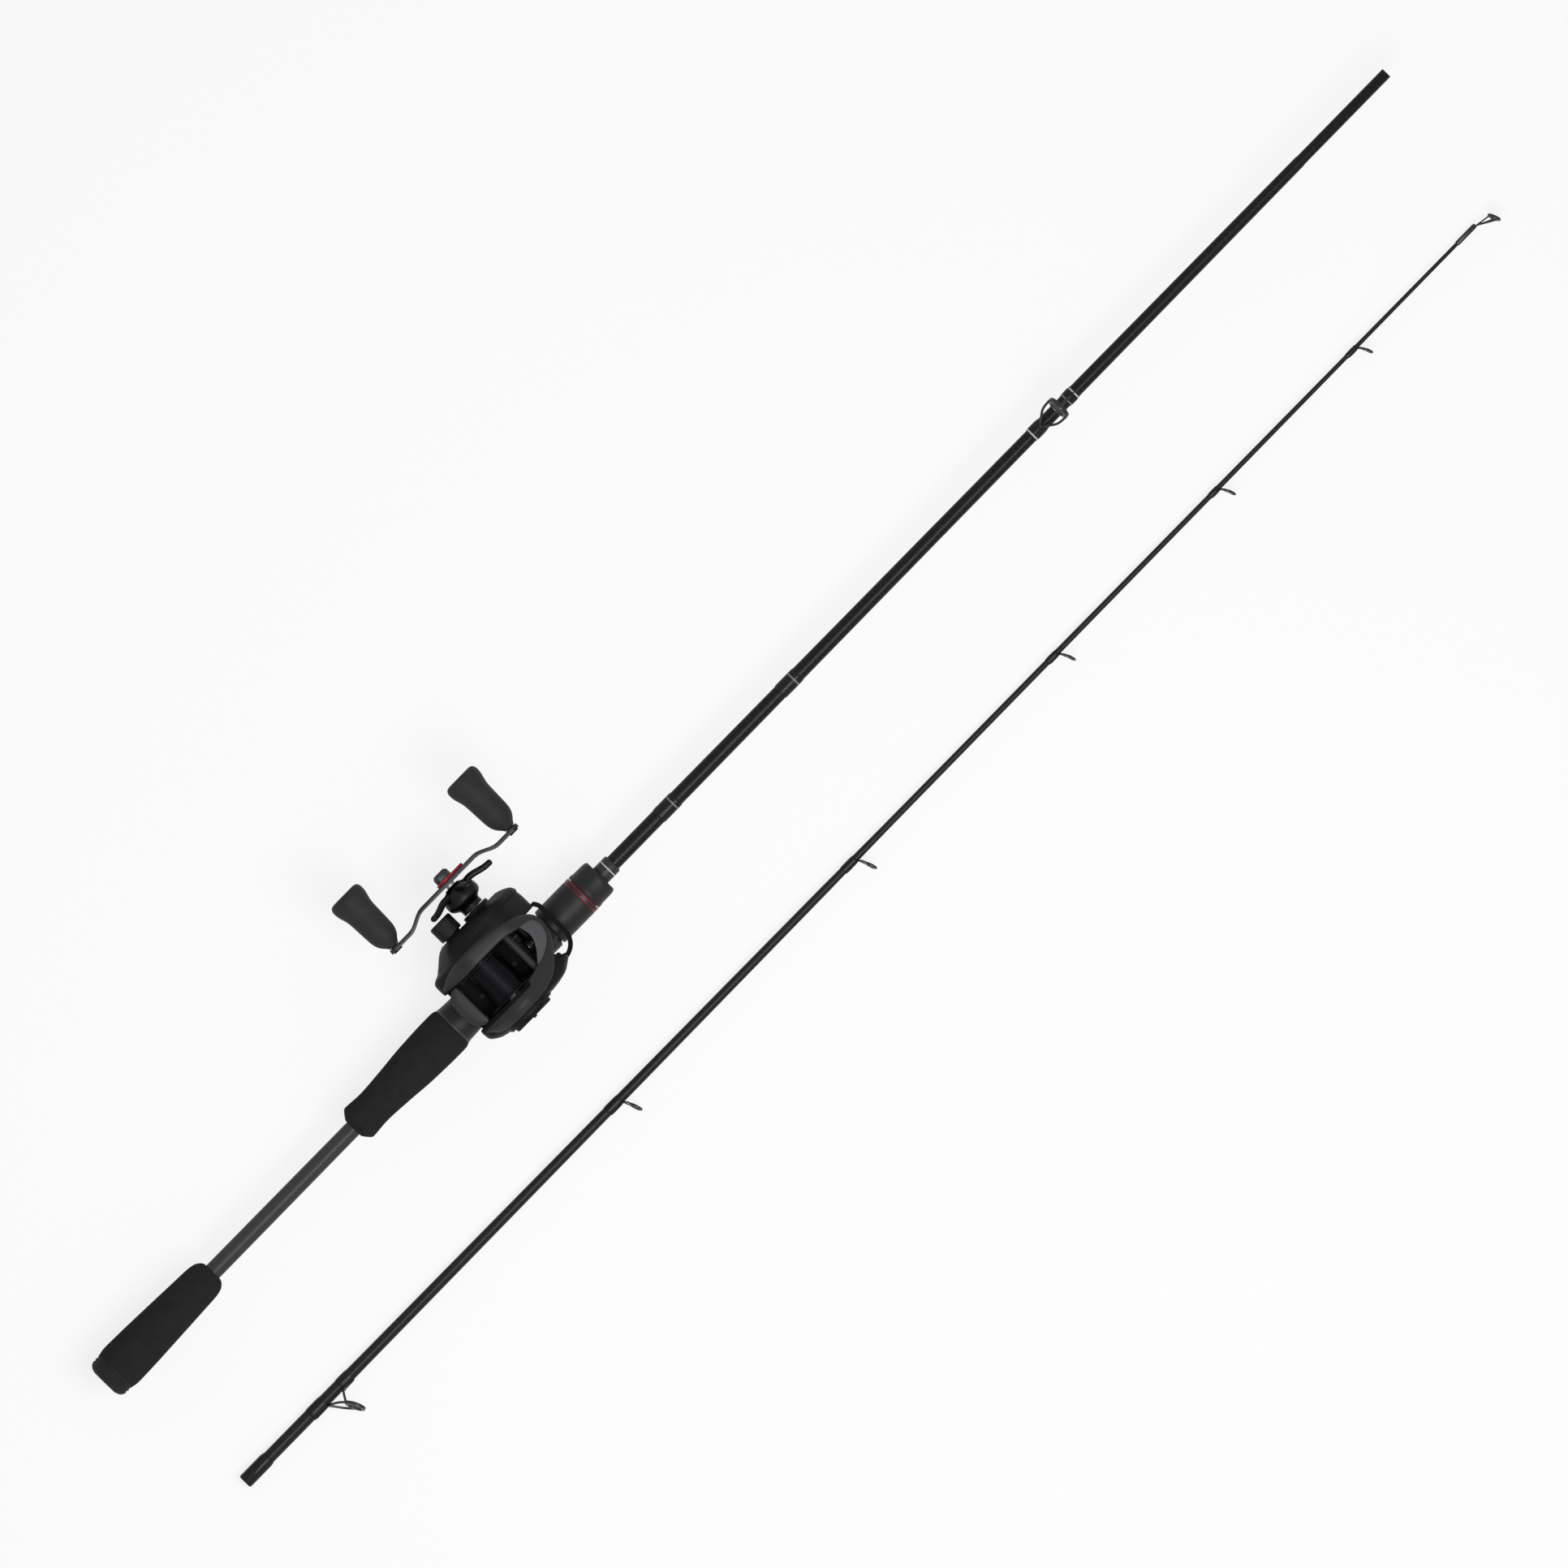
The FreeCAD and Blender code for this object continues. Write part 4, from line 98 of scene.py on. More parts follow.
def piece(name, body, finish, grids, replaced=(), sharp=38, wrapped=True):
    """Grids of points in millimetres as one mesh: doubles merged so that seams and poles close, faces
    turned outwards, shaded smooth except where two faces meet at more than the sharp angle."""
    points, faces, count = [], [], 0
    for grid in grids:
        points.append(grid.reshape(-1, 3) / 1000)
        faces.append(quads(*grid.shape[:2], wrapped) + count)
        count += len(points[-1])
    mesh = bpy.data.meshes.new(name)
    mesh.from_pydata(np.concatenate(points).tolist(), [], np.concatenate(faces).tolist())
    work = bmesh.new()
    work.from_mesh(mesh)
    bmesh.ops.remove_doubles(work, verts=work.verts, dist=1e-6)
    bmesh.ops.recalc_face_normals(work, faces=work.faces)
    work.to_mesh(mesh)
    work.free()
    mesh.shade_smooth()
    mesh.set_sharp_from_angle(angle=math.radians(sharp))
    mesh.materials.append(finish.material)
    made = bpy.data.objects.new(name, mesh)
    bpy.context.scene.collection.objects.link(made)
    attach(made, body)
    if replaced:
        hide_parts(*replaced)
    return made


def turned(profile, centre=(0, 0, 0), axis="X", steps=64):
    """Points (along, radius) carried round an axis: cosine and sine of an even angle times the
    radius."""
    along, radius = np.asarray(profile, float).T[:, :, None]
    angle = np.linspace(0, 2 * math.pi, steps, endpoint=False)
    across, up = radius * np.cos(angle), radius * np.sin(angle)
    along = along + 0 * angle
    order = {"X": (along, across, up), "Y": (across, along, up), "Z": (across, up, along)}[axis]
    return np.stack(order, -1) + np.asarray(centre, float)


class Value:
    """A number that changes over a surface. Python's operators on it add maths nodes."""

    def __init__(self, finish, socket):
        self.finish = finish
        self.socket = socket

    def maths(self, operation, *others):
        return self.finish.maths(operation, self, *others)

    def __add__(self, other):
        return self.maths("ADD", other)

    def __sub__(self, other):
        return self.maths("SUBTRACT", other)

    def __rsub__(self, other):
        return self.finish.maths("SUBTRACT", other, self)

    def __mul__(self, other):
        return self.maths("MULTIPLY", other)

    def __truediv__(self, other):
        return self.maths("DIVIDE", other)

    def __rtruediv__(self, other):
        return self.finish.maths("DIVIDE", other, self)

    def __abs__(self):
        return self.maths("ABSOLUTE")

    __radd__ = __add__
    __rmul__ = __mul__

    def sin(self):
        return self.maths("SINE")

    def fraction(self):
        return self.maths("FRACT")

    def below(self, edge):
        return self.maths("LESS_THAN", edge)

    def within(self, middle, width):
        """1 where this number is within half the width of the middle, and 0 elsewhere."""
        return abs(self - middle).below(width / 2)


class Finish:
    """A material being mixed, and the record's slot that it paints. Shine is how much light its
    surface throws back at a right angle: 0.5 is bare polished plastic."""

    def __init__(self, slot, name=None, shine=0.25, **constants):
        self.slot = slot
        self.material = bpy.data.materials.new(name or slot)
        self.material.use_nodes = True
        self.tree = self.material.node_tree
        self.shader = self.tree.nodes["Principled BSDF"]
        sockets = {key.replace("_", " ").title(): value for key, value in constants.items()}
        self.feed(self.shader, {**sockets, "Specular IOR Level": shine})

    def feed(self, node, sockets):
        for key, value in sockets.items():
            if isinstance(value, Value):
                self.tree.links.new(value.socket, node.inputs[key])
            else:
                node.inputs[key].default_value = value

    def add(self, kind, settings=(), sockets=(), output=0):
        """Any node: its settings first, then the values or links of its sockets, by number or name."""
        node = self.tree.nodes.new(kind)
        for key, value in dict(settings).items():
            setattr(node, key, value)
        self.feed(node, sockets if isinstance(sockets, dict) else dict(enumerate(sockets)))
        return Value(self, node.outputs[output])

    def maths(self, operation, *values):
        return self.add("ShaderNodeMath", {"operation": operation}, values)

    def place(self):
        """Where a point is in the object's own space, in metres."""
        return self.add("ShaderNodeTexCoord", output=3)

    def along(self, axis, centre=0.0):
        """One coordinate in millimetres, measured from a centre."""
        part = self.add("ShaderNodeSeparateXYZ", sockets=[self.place()], output="XYZ".index(axis))
        return part * 1000 - centre

    def noise(self, size, detail=3.0, stretch=(1, 1, 1)):
        """Cloudy noise from 0 to 1 with grains of about that size in millimetres."""
        spot = self.add("ShaderNodeMapping", sockets={"Vector": self.place(), "Scale": stretch})
        return self.add("ShaderNodeTexNoise",
                        sockets={"Vector": spot, "Scale": 1000 / size, "Detail": detail})

    def cells(self, size):
        """Distance from the middle of the nearest of many small cells, in cell sizes."""
        return self.add("ShaderNodeTexVoronoi",
                        sockets={"Vector": self.place(), "Scale": 1000 / size})

    def mix(self, share, first, second):
        """A colour between two."""
        first, second = (c if isinstance(c, Value) else (*c, 1) for c in (first, second))
        return self.add("ShaderNodeMix", {"data_type": "RGBA"}, {0: share, 6: first, 7: second}, 2)

    def finish(self, colour=None, roughness=None, height=None, strength=0.3, depth=0.1):
        """Joins what varies to the shader. Height is bumps, depth millimetres deep."""
        if colour is not None:
            self.feed(self.shader, {"Base Color": colour})
        if roughness is not None:
            self.feed(self.shader, {"Roughness": roughness})
        if height is not None:
            bumps = self.add("ShaderNodeBump", sockets={
                "Strength": strength, "Distance": depth / 1000, "Height": height})
            self.feed(self.shader, {"Normal": bumps})
        return self


def carbon(name, centre, handle, dark):
    """Crossed tape: two sets of spiral stripes, found from the angle round the tube and the way along.
    The tube is paler up to the handle's end."""
    pitch, width, stripe_share = 9, 0.1, 0.1
    made = Finish("blank", name, shine=0.09, coat_weight=0.08, coat_roughness=0.15)
    x = made.along("X")
    up, across = made.along("Z", centre[1]), made.along("Y", centre[0])
    turn = up.maths("ARCTAN2", across) / (2 * math.pi)
    right = (x / pitch + turn).fraction().within(0.5, width)
    left = (x / pitch - turn).fraction().within(0.5, width)
    grain = made.noise(0.5, 4, (0.15, 1, 1))
    bare = x.below(handle)
    front = made.mix(grain, (dark, dark, dark * 1.1), (dark * 2.2, dark * 2.2, dark * 2.4))
    pale = made.mix(grain, (0.025, 0.026, 0.027), (0.05, 0.051, 0.053))
    colour = made.mix(bare, front, pale)
    colour = made.mix((right + left) * stripe_share, colour, (0.05, 0.054, 0.058))
    return made.finish(colour, 0.3 + grain * 0.16, grain + (right + left) * 0.4, 0.25, 0.03)


butt_start, butt_end = ends("butt_blank")
handle_end = 203
shoulder = butt_end - 70
spigot, bore = 3.2, 2.3
butt_outside = [(butt_start, 5.34), (413.8, 4.65), (776, 3.93), (shoulder, 3.42), (shoulder, spigot),
                (butt_end - 0.4, spigot), (butt_end, 2.9)]
butt_inside = [(butt_end, 2.4), (butt_end - 30, bore), (butt_start, bore), butt_outside[0]]
piece("butt_tube", "rod", carbon("blank_butt", (0, 0), handle_end, dark=0.003),
      [turned(butt_outside + butt_inside, steps=48)], ["butt_blank"])

tip_start, tip_end = ends("tip_blank")
tip_centre = (-96.7, -23.0)
tip_run = [(0, 3.78), (52, 3.78), (100, 3.45), (290, 2.95), (470, 2.42), (520, 1.98), (800, 1.5),
           (1000, 1.05)]
tip_outside = [(tip_start + x, radius) for x, radius in tip_run]
socket_end, socket = tip_start + 72, 3.25
tip_inside = [(tip_end, 0), (tip_start + 440, 0), (tip_start + 420, 1.0), (tip_start + 78, 2.4),
              (socket_end, socket), (tip_start, socket), tip_outside[0]]
piece("tip_tube", "tip_section", carbon("blank_tip", tip_centre, 0, dark=0.007),
      [turned(tip_outside + tip_inside, (0, *tip_centre), steps=36)], ["tip_blank"])


# ---- Butt cap and grips ----------------------------------------------------------------------
# The cap is a moulded rubber cup. Both grips are closed-cell foam, turned and sanded on the lathe,
# pushed over the blank and glued.

def curve(points, per=8):
    """A smooth run through points: between two of them, the cubic whose slopes are half the step
    between the points on either side."""
    points = np.asarray(points, float)
    padded = np.concatenate([2 * points[:1] - points[1:2], points, 2 * points[-1:] - points[-2:-1]])
    share = np.linspace(0, 1, per, endpoint=False)[:, None]
    before, first, last, after = (padded[i:len(padded) - 3 + i, None] for i in range(4))
    leave, reach = (last - before) / 2, (after - first) / 2
    run = (first + leave * share
           + (3 * (last - first) - 2 * leave - reach) * share ** 2
           + (2 * (first - last) + leave + reach) * share ** 3)
    return np.concatenate([run.reshape(-1, points.shape[1]), points[-1:]])


def rubber(slot, name=None, dark=0.014, light=0.022, rough=0.62):
    """Moulded rubber: a slow cloud of wear between two greys, under a fine grain."""
    made = Finish(slot, name, shine=0.1)
    grain = made.noise(0.35, 4)
    wear = made.noise(14, 2)
    colour = made.mix(wear, (dark, dark, dark), (light, light, light * 1.03))
    return made.finish(colour, rough + grain * 0.14, grain, 0.35, 0.05)


def foam():
    """Sanded foam: open pores from small cells, with a cloud over them."""
    made = Finish("foam", shine=0.05)
    pores = made.cells(0.55)
    cloud = made.noise(6, 5)
    colour = made.mix(cloud, (0.013, 0.013, 0.0135), (0.024, 0.024, 0.025))
    return made.finish(colour, 0.82 + cloud * 0.12, pores + cloud * 0.5, 0.5, 0.12)


grip_foam = foam()
cap_length = ends("butt_cap")[1]
cap = np.concatenate([
    [(0, 0), (0.1, 7.5)], curve([(0.2, 8.3), (1.1, 10.6), (2.6, 12.2), (4.6, 12.9)]),
    [(5.0, 12.55), (5.8, 12.55), (6.2, 12.95), (6.9, 13.0), (7.3, 12.6), (8.1, 12.6), (8.5, 13.05)],
    [(cap_length, 13.1), (cap_length, 0)]])
piece("butt_cup", "rod", rubber("cap_rubber"), [turned(cap, steps=96)], ["butt_cap"])

rear_start, rear_end = ends("rear_grip")
rear = np.concatenate([
    [(rear_start, 5.3), (rear_start, 13.0)],
    curve([(rear_start + 0.3, 13.2), (12, 13.6), (15.5, 13.85), (30, 13.5), (52, 12.6), (70, 11.8),
           (78, 11.45), (82.2, 10.9), (85.2, 9.8), (87.4, 7.9), (rear_end, 6.0)]),
    [(rear_end, 5.2), (rear_start, 5.3)]])
piece("rear_foam", "rod", grip_foam, [turned(rear, steps=96)], ["rear_grip"])

main_start, main_end = ends("main_grip")
main = np.concatenate([
    [(main_start, 5.1), (main_start, 6.2)],
    curve([(main_start + 0.2, 6.6), (204.6, 9.2), (206.6, 11.2), (209, 11.5), (220, 10.85), (236, 11.85),
           (251, 13.15), (266, 13.82), (274, 13.95), (280, 13.9), (main_end - 0.3, 13.2)]),
    [(main_end, 13.0), (main_end, 5.0), (main_start, 5.1)]])
piece("main_foam", "rod", grip_foam, [turned(main, steps=96)], ["main_grip"])


# ---- Reel seat, hood and nut -----------------------------------------------------------------
# The seat is moulded graphite-filled nylon under soft-touch paint: a barrel with a flat deck for the
# reel's foot, a fixed rear hood and a trigger. The hood slides on it, pushed by a threaded nut. Inside,
# a foam arbor fills the space round the blank.

def soft_paint(slot, name=None, dark=0.008, light=0.014, rough=0.38, shine=0.28):
    """Soft-touch paint or a bare moulding: a cloud between two greys, under a fine grain."""
    made = Finish(slot, name, shine=shine)
    grain = made.noise(0.22, 3)
    cloud = made.noise(11, 3)
    colour = made.mix(cloud, (dark, dark, dark * 1.04), (light, light, light * 1.06))
    return made.finish(colour, rough + cloud * 0.16, grain, 0.18, 0.03)


def collar(outside, hole, centre=(0, 0, 0), axis="X", steps=96):
    """A turned form with a straight hole: the points of its outside, joined by a line along the hole."""
    start, end = outside[0][0], outside[-1][0]
    return turned([(start, hole), *map(tuple, outside), (end, hole), (start, hole)], centre, axis, steps)


nodes = frame["nodes"]


def keep(node, finish):
    """A frame node stays as it is and takes a finish."""
    nodes[node].data.materials.clear()
    nodes[node].data.materials.append(finish.material)


seat_paint = soft_paint("seat", shine=0.2)
seat_start, seat_end = ends("reel_seat")
deck_start, deck_end, deck_z = 301, 372.3, 7.6
past_deck = (373, 386)
barrel_end, barrel_radius, thread_radius = 361.7, 12.2, 10.2


def seat_barrel():
    """A round bar, cut off at the deck's height over the stretch that carries the foot: the radius is
    the smaller of the bar's own and the deck's height over the sine of the angle."""
    x = np.concatenate([np.linspace(seat_start, barrel_end, 60), [barrel_end, *past_deck, seat_end]])
    radius = np.interp(x, [seat_start, seat_start + 8, barrel_end - 0.1, barrel_end, seat_end],
                       [12.6, barrel_radius, barrel_radius, thread_radius, thread_radius])
    rise = np.clip((deck_start + 1.5 - x) / 3, 0, 1) + (x > deck_end)
    height = deck_z + (radius - deck_z) * np.clip(rise, 0, 1)
    angle = np.linspace(0, 2 * math.pi, 96, endpoint=False)
    flat = height[:, None] / np.maximum(np.sin(angle), 0.05)
    reach = np.minimum(radius[:, None], flat)
    barrel = np.stack([x[:, None] + 0 * angle, reach * np.cos(angle), reach * np.sin(angle)], -1)
    first, last = turned([(seat_start, 5.3)], steps=96), turned([(seat_end, 6.0)], steps=96)
    return np.concatenate([first, barrel, last, first])


def squarer(wave, power):
    """A wave raised to a low power, with its sign kept, which makes a round section squarer."""
    return np.sign(wave) * np.abs(wave) ** power


def blade(path, thick, wide, steps=24, power=1.0):
    """An oval section carried along a path in a plane and square to it: its half thickness lies in that
    plane and its half width across it. A point is the plane's first way, across, and its second way."""
    path = np.asarray(path, float)
    step = np.gradient(path, axis=0)
    step /= np.linalg.norm(step, axis=1)[:, None]
    angle = np.linspace(0, 2 * math.pi, steps, endpoint=False)
    over = thick[:, None] * squarer(np.cos(angle), power)
    side = wide[:, None] * np.sin(angle)
    return np.stack([path[:, :1] + over * step[:, 1:], side, path[:, 1:] - over * step[:, :1]], -1)


def rounded(share, last):
    """1 along a length and, over its last part, down to 0 as a quarter circle."""
    return np.sqrt(np.clip(1 - (np.maximum(share - 1 + last, 0) / last) ** 2, 0, 1))


trigger_line = curve([(327.5, -3.5), (323.5, -8), (319.4, -13), (315.2, -17.2), (312, -21.5), (310, -25.4),
                      (309.2, -28.9)], 6)
share = np.linspace(0, 1, len(trigger_line))
closing = rounded(share, 0.1) * (share > 0)
tip_thick, root_thick = 2.9, 9.7
flare = (root_thick - tip_thick) * np.clip(1.2 - 1.2 * share, 0, 1) ** 2.2 + tip_thick
trigger = blade(trigger_line, flare * closing, (3.7 - 0.4 * share) * closing)
piece("seat_body", "rod", seat_paint, [seat_barrel(), trigger], ["reel_seat"])

arbor_foam = Finish("core_foam")
arbor_grain = arbor_foam.cells(0.7)
arbor_foam.finish(arbor_foam.mix(arbor_grain, (0.42, 0.4, 0.35), (0.55, 0.53, 0.47)), 0.8,
                  arbor_grain, 0.4, 0.08)
keep("seat_arbor", arbor_foam)

ring_start, ring_end = ends("seat_ring")
ring_line = Finish("seat", "seat_ring_paint")
ring_grain = ring_line.noise(0.4, 3)
ring_line.finish(ring_line.mix(ring_grain, (0.02, 0.02, 0.022), (0.035, 0.035, 0.038)),
                 0.35 + ring_grain * 0.1)
piece("seat_trim", "rod", ring_line,
      [collar([(ring_start, 12.7), (ring_start + 0.4, 12.9), (ring_end - 0.4, 12.85), (ring_end, 12.6)],
              hole=5.2)], ["seat_ring"])

sliding_hole, hood_radius = 10.35, 12.25
hood_start, hood_end = ends("sliding_hood")
hood = [*curve([(hood_start, 11.2), (hood_start + 0.5, 12.0), (hood_start + 1.6, hood_radius)], 5),
        (hood_end - 0.3, hood_radius), (hood_end, 12.0)]
piece("hood_sleeve", "hood", seat_paint, [collar(hood, sliding_hole)], ["sliding_hood"])

trim_start, trim_end = ends("hood_trim_ring")
red = Finish("red_anodised", "red_ring", metallic=0.6)
red_cloud = red.noise(2, 2)
red_place = red.along("X")
line_inset, line_width = 0.35, 0.55
red_line = (red_place.within(trim_start + line_inset, line_width)
            + red_place.within(trim_end - line_inset, line_width))
red.finish(red.mix(red_line, (0.035, 0.022, 0.024), (0.19, 0.012, 0.018)), 0.3 + red_cloud * 0.1)
piece("red_trim", "hood", red,
      [collar([(trim_start, 12.1), (trim_start + 0.3, hood_radius), (trim_end - 0.3, hood_radius),
               (trim_end, 12.1)], sliding_hole)], ["hood_trim_ring"])

nut_start, nut_end = ends("lock_nut")
nut_wall = 1.8
nut = [(nut_start, 11.9), (nut_start + 0.3, 12.1), (nut_start + 2.4, 12.1), (nut_start + 3.1, 11.75),
       *curve([(nut_end - 3.2, 11.65), (nut_end - 1.4, 11.35), (nut_end - 0.4, 10.8), (nut_end, 10.2)], 5),
       (nut_end, 6.4), (nut_end - nut_wall, 6.4)]
piece("threaded_nut", "lock_nut", seat_paint, [collar(nut, sliding_hole)], ["lock_nut"])

check_start, check_end = ends("winding_check")
check = Finish("check_rubber")
check_grain = check.noise(0.3, 3)
check_line = check.along("X").within(409.3, 0.7)
check_colour = check.mix(check_grain, (0.014, 0.014, 0.015), (0.024, 0.024, 0.025))
check.finish(check.mix(check_line, check_colour, (0.5, 0.5, 0.5)), 0.4, check_grain, 0.2, 0.04)
piece("blank_collar", "rod", check,
      [collar([(check_start, 5.7), (check_start + 0.3, 5.9), (check_end - 1, 5.9), (check_end - 0.2, 5.5),
               (check_end, 5.2)], hole=4.7, steps=64)], ["winding_check"])


# ---- Thread wraps ----------------------------------------------------------------------------
# Black nylon thread wound tightly over the blank and the guides' feet, under a dome of clear epoxy.
# A few turns of metallic thread trim some of them.

def thread(name, trims_and_highlights):
    """Turns of thread lie side by side along X; the bands given are (place, width, brightness): trims of
    metallic thread, and on the stripper one painted highlight.
    """
    thread_width = 0.32
    made = Finish("thread_wrap", name, shine=0.08, coat_weight=0.16, coat_roughness=0.05)
    x = made.along("X")
    turns = (x * (2 * math.pi / thread_width)).sin() * 0.5 + 0.5
    cloud = made.noise(3, 3)
    colour = made.mix(turns * 0.6 + cloud * 0.4, (0.003, 0.003, 0.0035), (0.01, 0.01, 0.011))
    for place, width, bright in trims_and_highlights:
        colour = made.mix(x.within(place, width), colour, (bright, bright, bright * 1.02))
    return made.finish(colour, 0.3 + cloud * 0.15, turns, 0.12, 0.02)


def sleeve(start, end, first, last, thick, lump=0.0, foot=90, slope=2.5):
    """A wrap: the blank's radius plus a thickness that rises from nothing over its slope at both ends,
    and a lump over the guide's foot, at its angle round the blank, that dies away on either side."""
    lump_spread, sunk = 0.42, 0.15
    x = np.linspace(start, end, 40)
    edge = np.clip(np.minimum(x - start, end - x) / slope, 0, 1)
    rise = np.sqrt(edge * (2 - edge))[:, None]
    angle = np.linspace(0, 2 * math.pi, 64, endpoint=False)
    away = (angle - math.radians(foot) + math.pi) % (2 * math.pi) - math.pi
    under = np.interp(x, [start, end], [first, last])[:, None]
    radius = under + rise * (thick + lump * np.exp(-(away / lump_spread) ** 2))
    place = x[:, None] + 0 * angle
    outside, inside = (np.stack([place, size * np.cos(angle), size * np.sin(angle)], -1)
                       for size in (radius, under - sunk))
    return np.concatenate([outside, inside[[-1, 0]], outside[:1]])


def butt_radius(x):
    return np.interp(x, *np.array(butt_outside[1:4]).T)


decor_ends = [(450.5, 465.5), (549.5, 564.5)]
piece("decor_wraps", "rod", thread("decor_thread", [(461.7, 0.8, 0.2), (560.3, 0.8, 0.2)]),
      [sleeve(a, b, butt_radius(a), butt_radius(b), thick=0.36) for a, b in decor_ends],
      ["decorative_wraps"])


# ---- Stripper and tip guides -----------------------------------------------------------------
# Each guide is a stamped and bent stainless frame, plated dark, with a polished ceramic ring pressed
# into it. It stands on feet under the thread. The tip top is a tube with a ring, glued over the end.

def chrome():
    """Dark plating over polished wire: a small cloud between two greys."""
    made = Finish("guide_steel", metallic=1.0)
    cloud = made.noise(1.2, 3)
    fine = made.noise(0.15, 2)
    return made.finish(made.mix(cloud, (0.018, 0.018, 0.019), (0.06, 0.06, 0.062)), 0.16 + cloud * 0.14,
                       fine, 0.08, 0.01)


def ceramic():
    """Polished ceramic: a faint cloud under a clear gloss."""
    made = Finish("guide_ceramic", coat_weight=0.6, coat_roughness=0.04)
    cloud = made.noise(0.8, 3)
    return made.finish(made.mix(cloud, (0.02, 0.02, 0.022), (0.045, 0.045, 0.05)), 0.14 + cloud * 0.08,
                       cloud, 0.05, 0.01)


guide_chrome = chrome()
ring_ceramic = ceramic()


def ring(outer, inner, width, height, lean, corner=0.35, steps=56):
    """A ring that leans: a rounded oblong section carried round, with its middle over the blank.
    The section's half width and half depth follow a cosine and a sine raised to the same low power."""
    turn = np.linspace(0, 2 * math.pi, 17)
    along = squarer(np.cos(turn), corner) * width / 2
    radius = (outer + inner) / 2 + squarer(np.sin(turn), corner) * (outer - inner) / 2
    angle = np.linspace(0, 2 * math.pi, steps, endpoint=False)
    side = radius[:, None] * np.sin(angle)
    up = -radius[:, None] * np.cos(angle)
    tilt = math.radians(lean)
    return np.stack([up * math.sin(tilt) + along[:, None] * math.cos(tilt), side,
                     height + up * math.cos(tilt) - along[:, None] * math.sin(tilt)], -1)


closed_end = 1e-4  # A radius that merges into one point.


def rod(path, radius, flat=1.0, steps=12):
    """A bent wire: an oval section square to a path, closed at both ends. Two directions across the
    path come from its own direction and one fixed line."""
    path = np.asarray(path, float)
    step = np.gradient(path, axis=0)
    step /= np.linalg.norm(step, axis=1)[:, None]
    path, step = (np.concatenate([row[:1], row, row[-1:]]) for row in (path, step))
    fixed = np.array([0.05, 1.0, 0.02])
    up = np.cross(step, fixed)
    up /= np.linalg.norm(up, axis=1)[:, None]
    side = np.cross(up, step)
    angle = np.linspace(0, 2 * math.pi, steps, endpoint=False)
    size = np.full(len(path), radius, float)
    size[[0, -1]] = closed_end
    across = side[:, None] * (np.cos(angle) * flat)[:, None] + up[:, None] * np.sin(angle)[:, None]
    return path[:, None] + across * size[:, None, None]


def on_ring(radius, degrees, height, lean):
    """A point on a leaning ring, at an angle from its lowest point."""
    angle, tilt = math.radians(degrees), math.radians(lean)
    up = -radius * math.cos(angle)
    return [up * math.sin(tilt), radius * math.sin(angle), height + up * math.cos(tilt)]


def guide(outer, band, width, height, lean, blank, wire, heel, toe, front=None):
    """A guide's frame round its own middle: the ring's band, two bowed legs from the rear foot to its
    sides, and for a double-foot guide one leg ahead."""
    leg_angle, bow_share = 80, 0.85
    grids = [ring(outer, outer - band, width, height, lean)]
    top = blank + wire * 0.8
    for side in (-1, 1):
        spot = on_ring(outer - band / 2, side * leg_angle, height, lean)
        bow = [(toe + spot[0]) / 2, spot[1] * bow_share, (top + spot[2]) / 2]
        grids.append(rod(curve([[heel, side * 0.1, blank + wire * 0.3],
                                [toe - 3, side * 0.15, top - wire * 0.2],
                                [toe - 0.6, side * 0.3, top], bow, spot], 6), wire))
    if front:
        low = on_ring(outer - band / 2, 0, height, lean)
        grids.append(rod(curve([low, [front[0] - 0.5, 0, top + 0.7], [front[0] + 1, 0, top],
                                [front[1], 0, blank + wire * 0.3]], 6), wire, 1.3))
    return grids


tip_turn = math.radians(62)


def laid(grids, at, on_side=False):
    """Moves a guide to its place; the tip section lies turned about its axis, with its guides towards -Y
    and a little up."""
    if on_side:
        across, over = math.cos(tip_turn), math.sin(tip_turn)
        grids = [np.stack([x, y * across - z * over, y * over + z * across], -1)
                 for x, y, z in (np.moveaxis(grid, -1, 0) for grid in grids)]
    return [grid + np.asarray(at, float) for grid in grids]


stripper_at = (776, 0, 0)
stance = {"height": 14, "lean": 14}
stripper = guide(outer=7.3, band=1.0, width=2.2, blank=3.93, wire=0.75, heel=-20, toe=-14,
                 front=(5, 12.5), **stance)
stripper_lining = ring(outer=6.3, inner=5.2, width=2.8, corner=0.6, **stance)
piece("stripper_wire", "rod", guide_chrome, laid(stripper, stripper_at), ["stripper_frame"])
piece("stripper_insert", "rod", ring_ceramic, laid([stripper_lining], stripper_at), ["stripper_ring"])
# The thin, dimmer band at 782.6 is no trim: it is a painted highlight, the glint of the stripper ring's front
# edge painted on the thread.
piece("stripper_thread", "rod",
      thread("stripper_thread_painted_highlight", [(754.8, 0.9, 0.5), (788.3, 0.9, 0.5), (782.6, 0.5, 0.35)]),
      [sleeve(a, b, butt_radius(a), butt_radius(b), thick=0.5, lump=0.75, slope=4)
       for a, b in ((753.5, 763.5), (781.2, 789.5))], ["stripper_wraps"])

TIP_GUIDES = [
    # Ring's place, outer radius, height over the axis, lean, foot's far end.
    (75, 6.2, 16.5, 28, -22),
    (308.2, 4.2, 10.9, 20, -13.5),
    (499.9, 3.8, 10.5, 20, -13.5),
    (664, 3, 8.9, 18, -11.5),
    (795, 2.8, 8.3, 18, -10.5),
    (907.3, 2.6, 7.7, 20, -11.5),
]


def tip_radius(x):
    return np.interp(x, *np.array(tip_run).T)


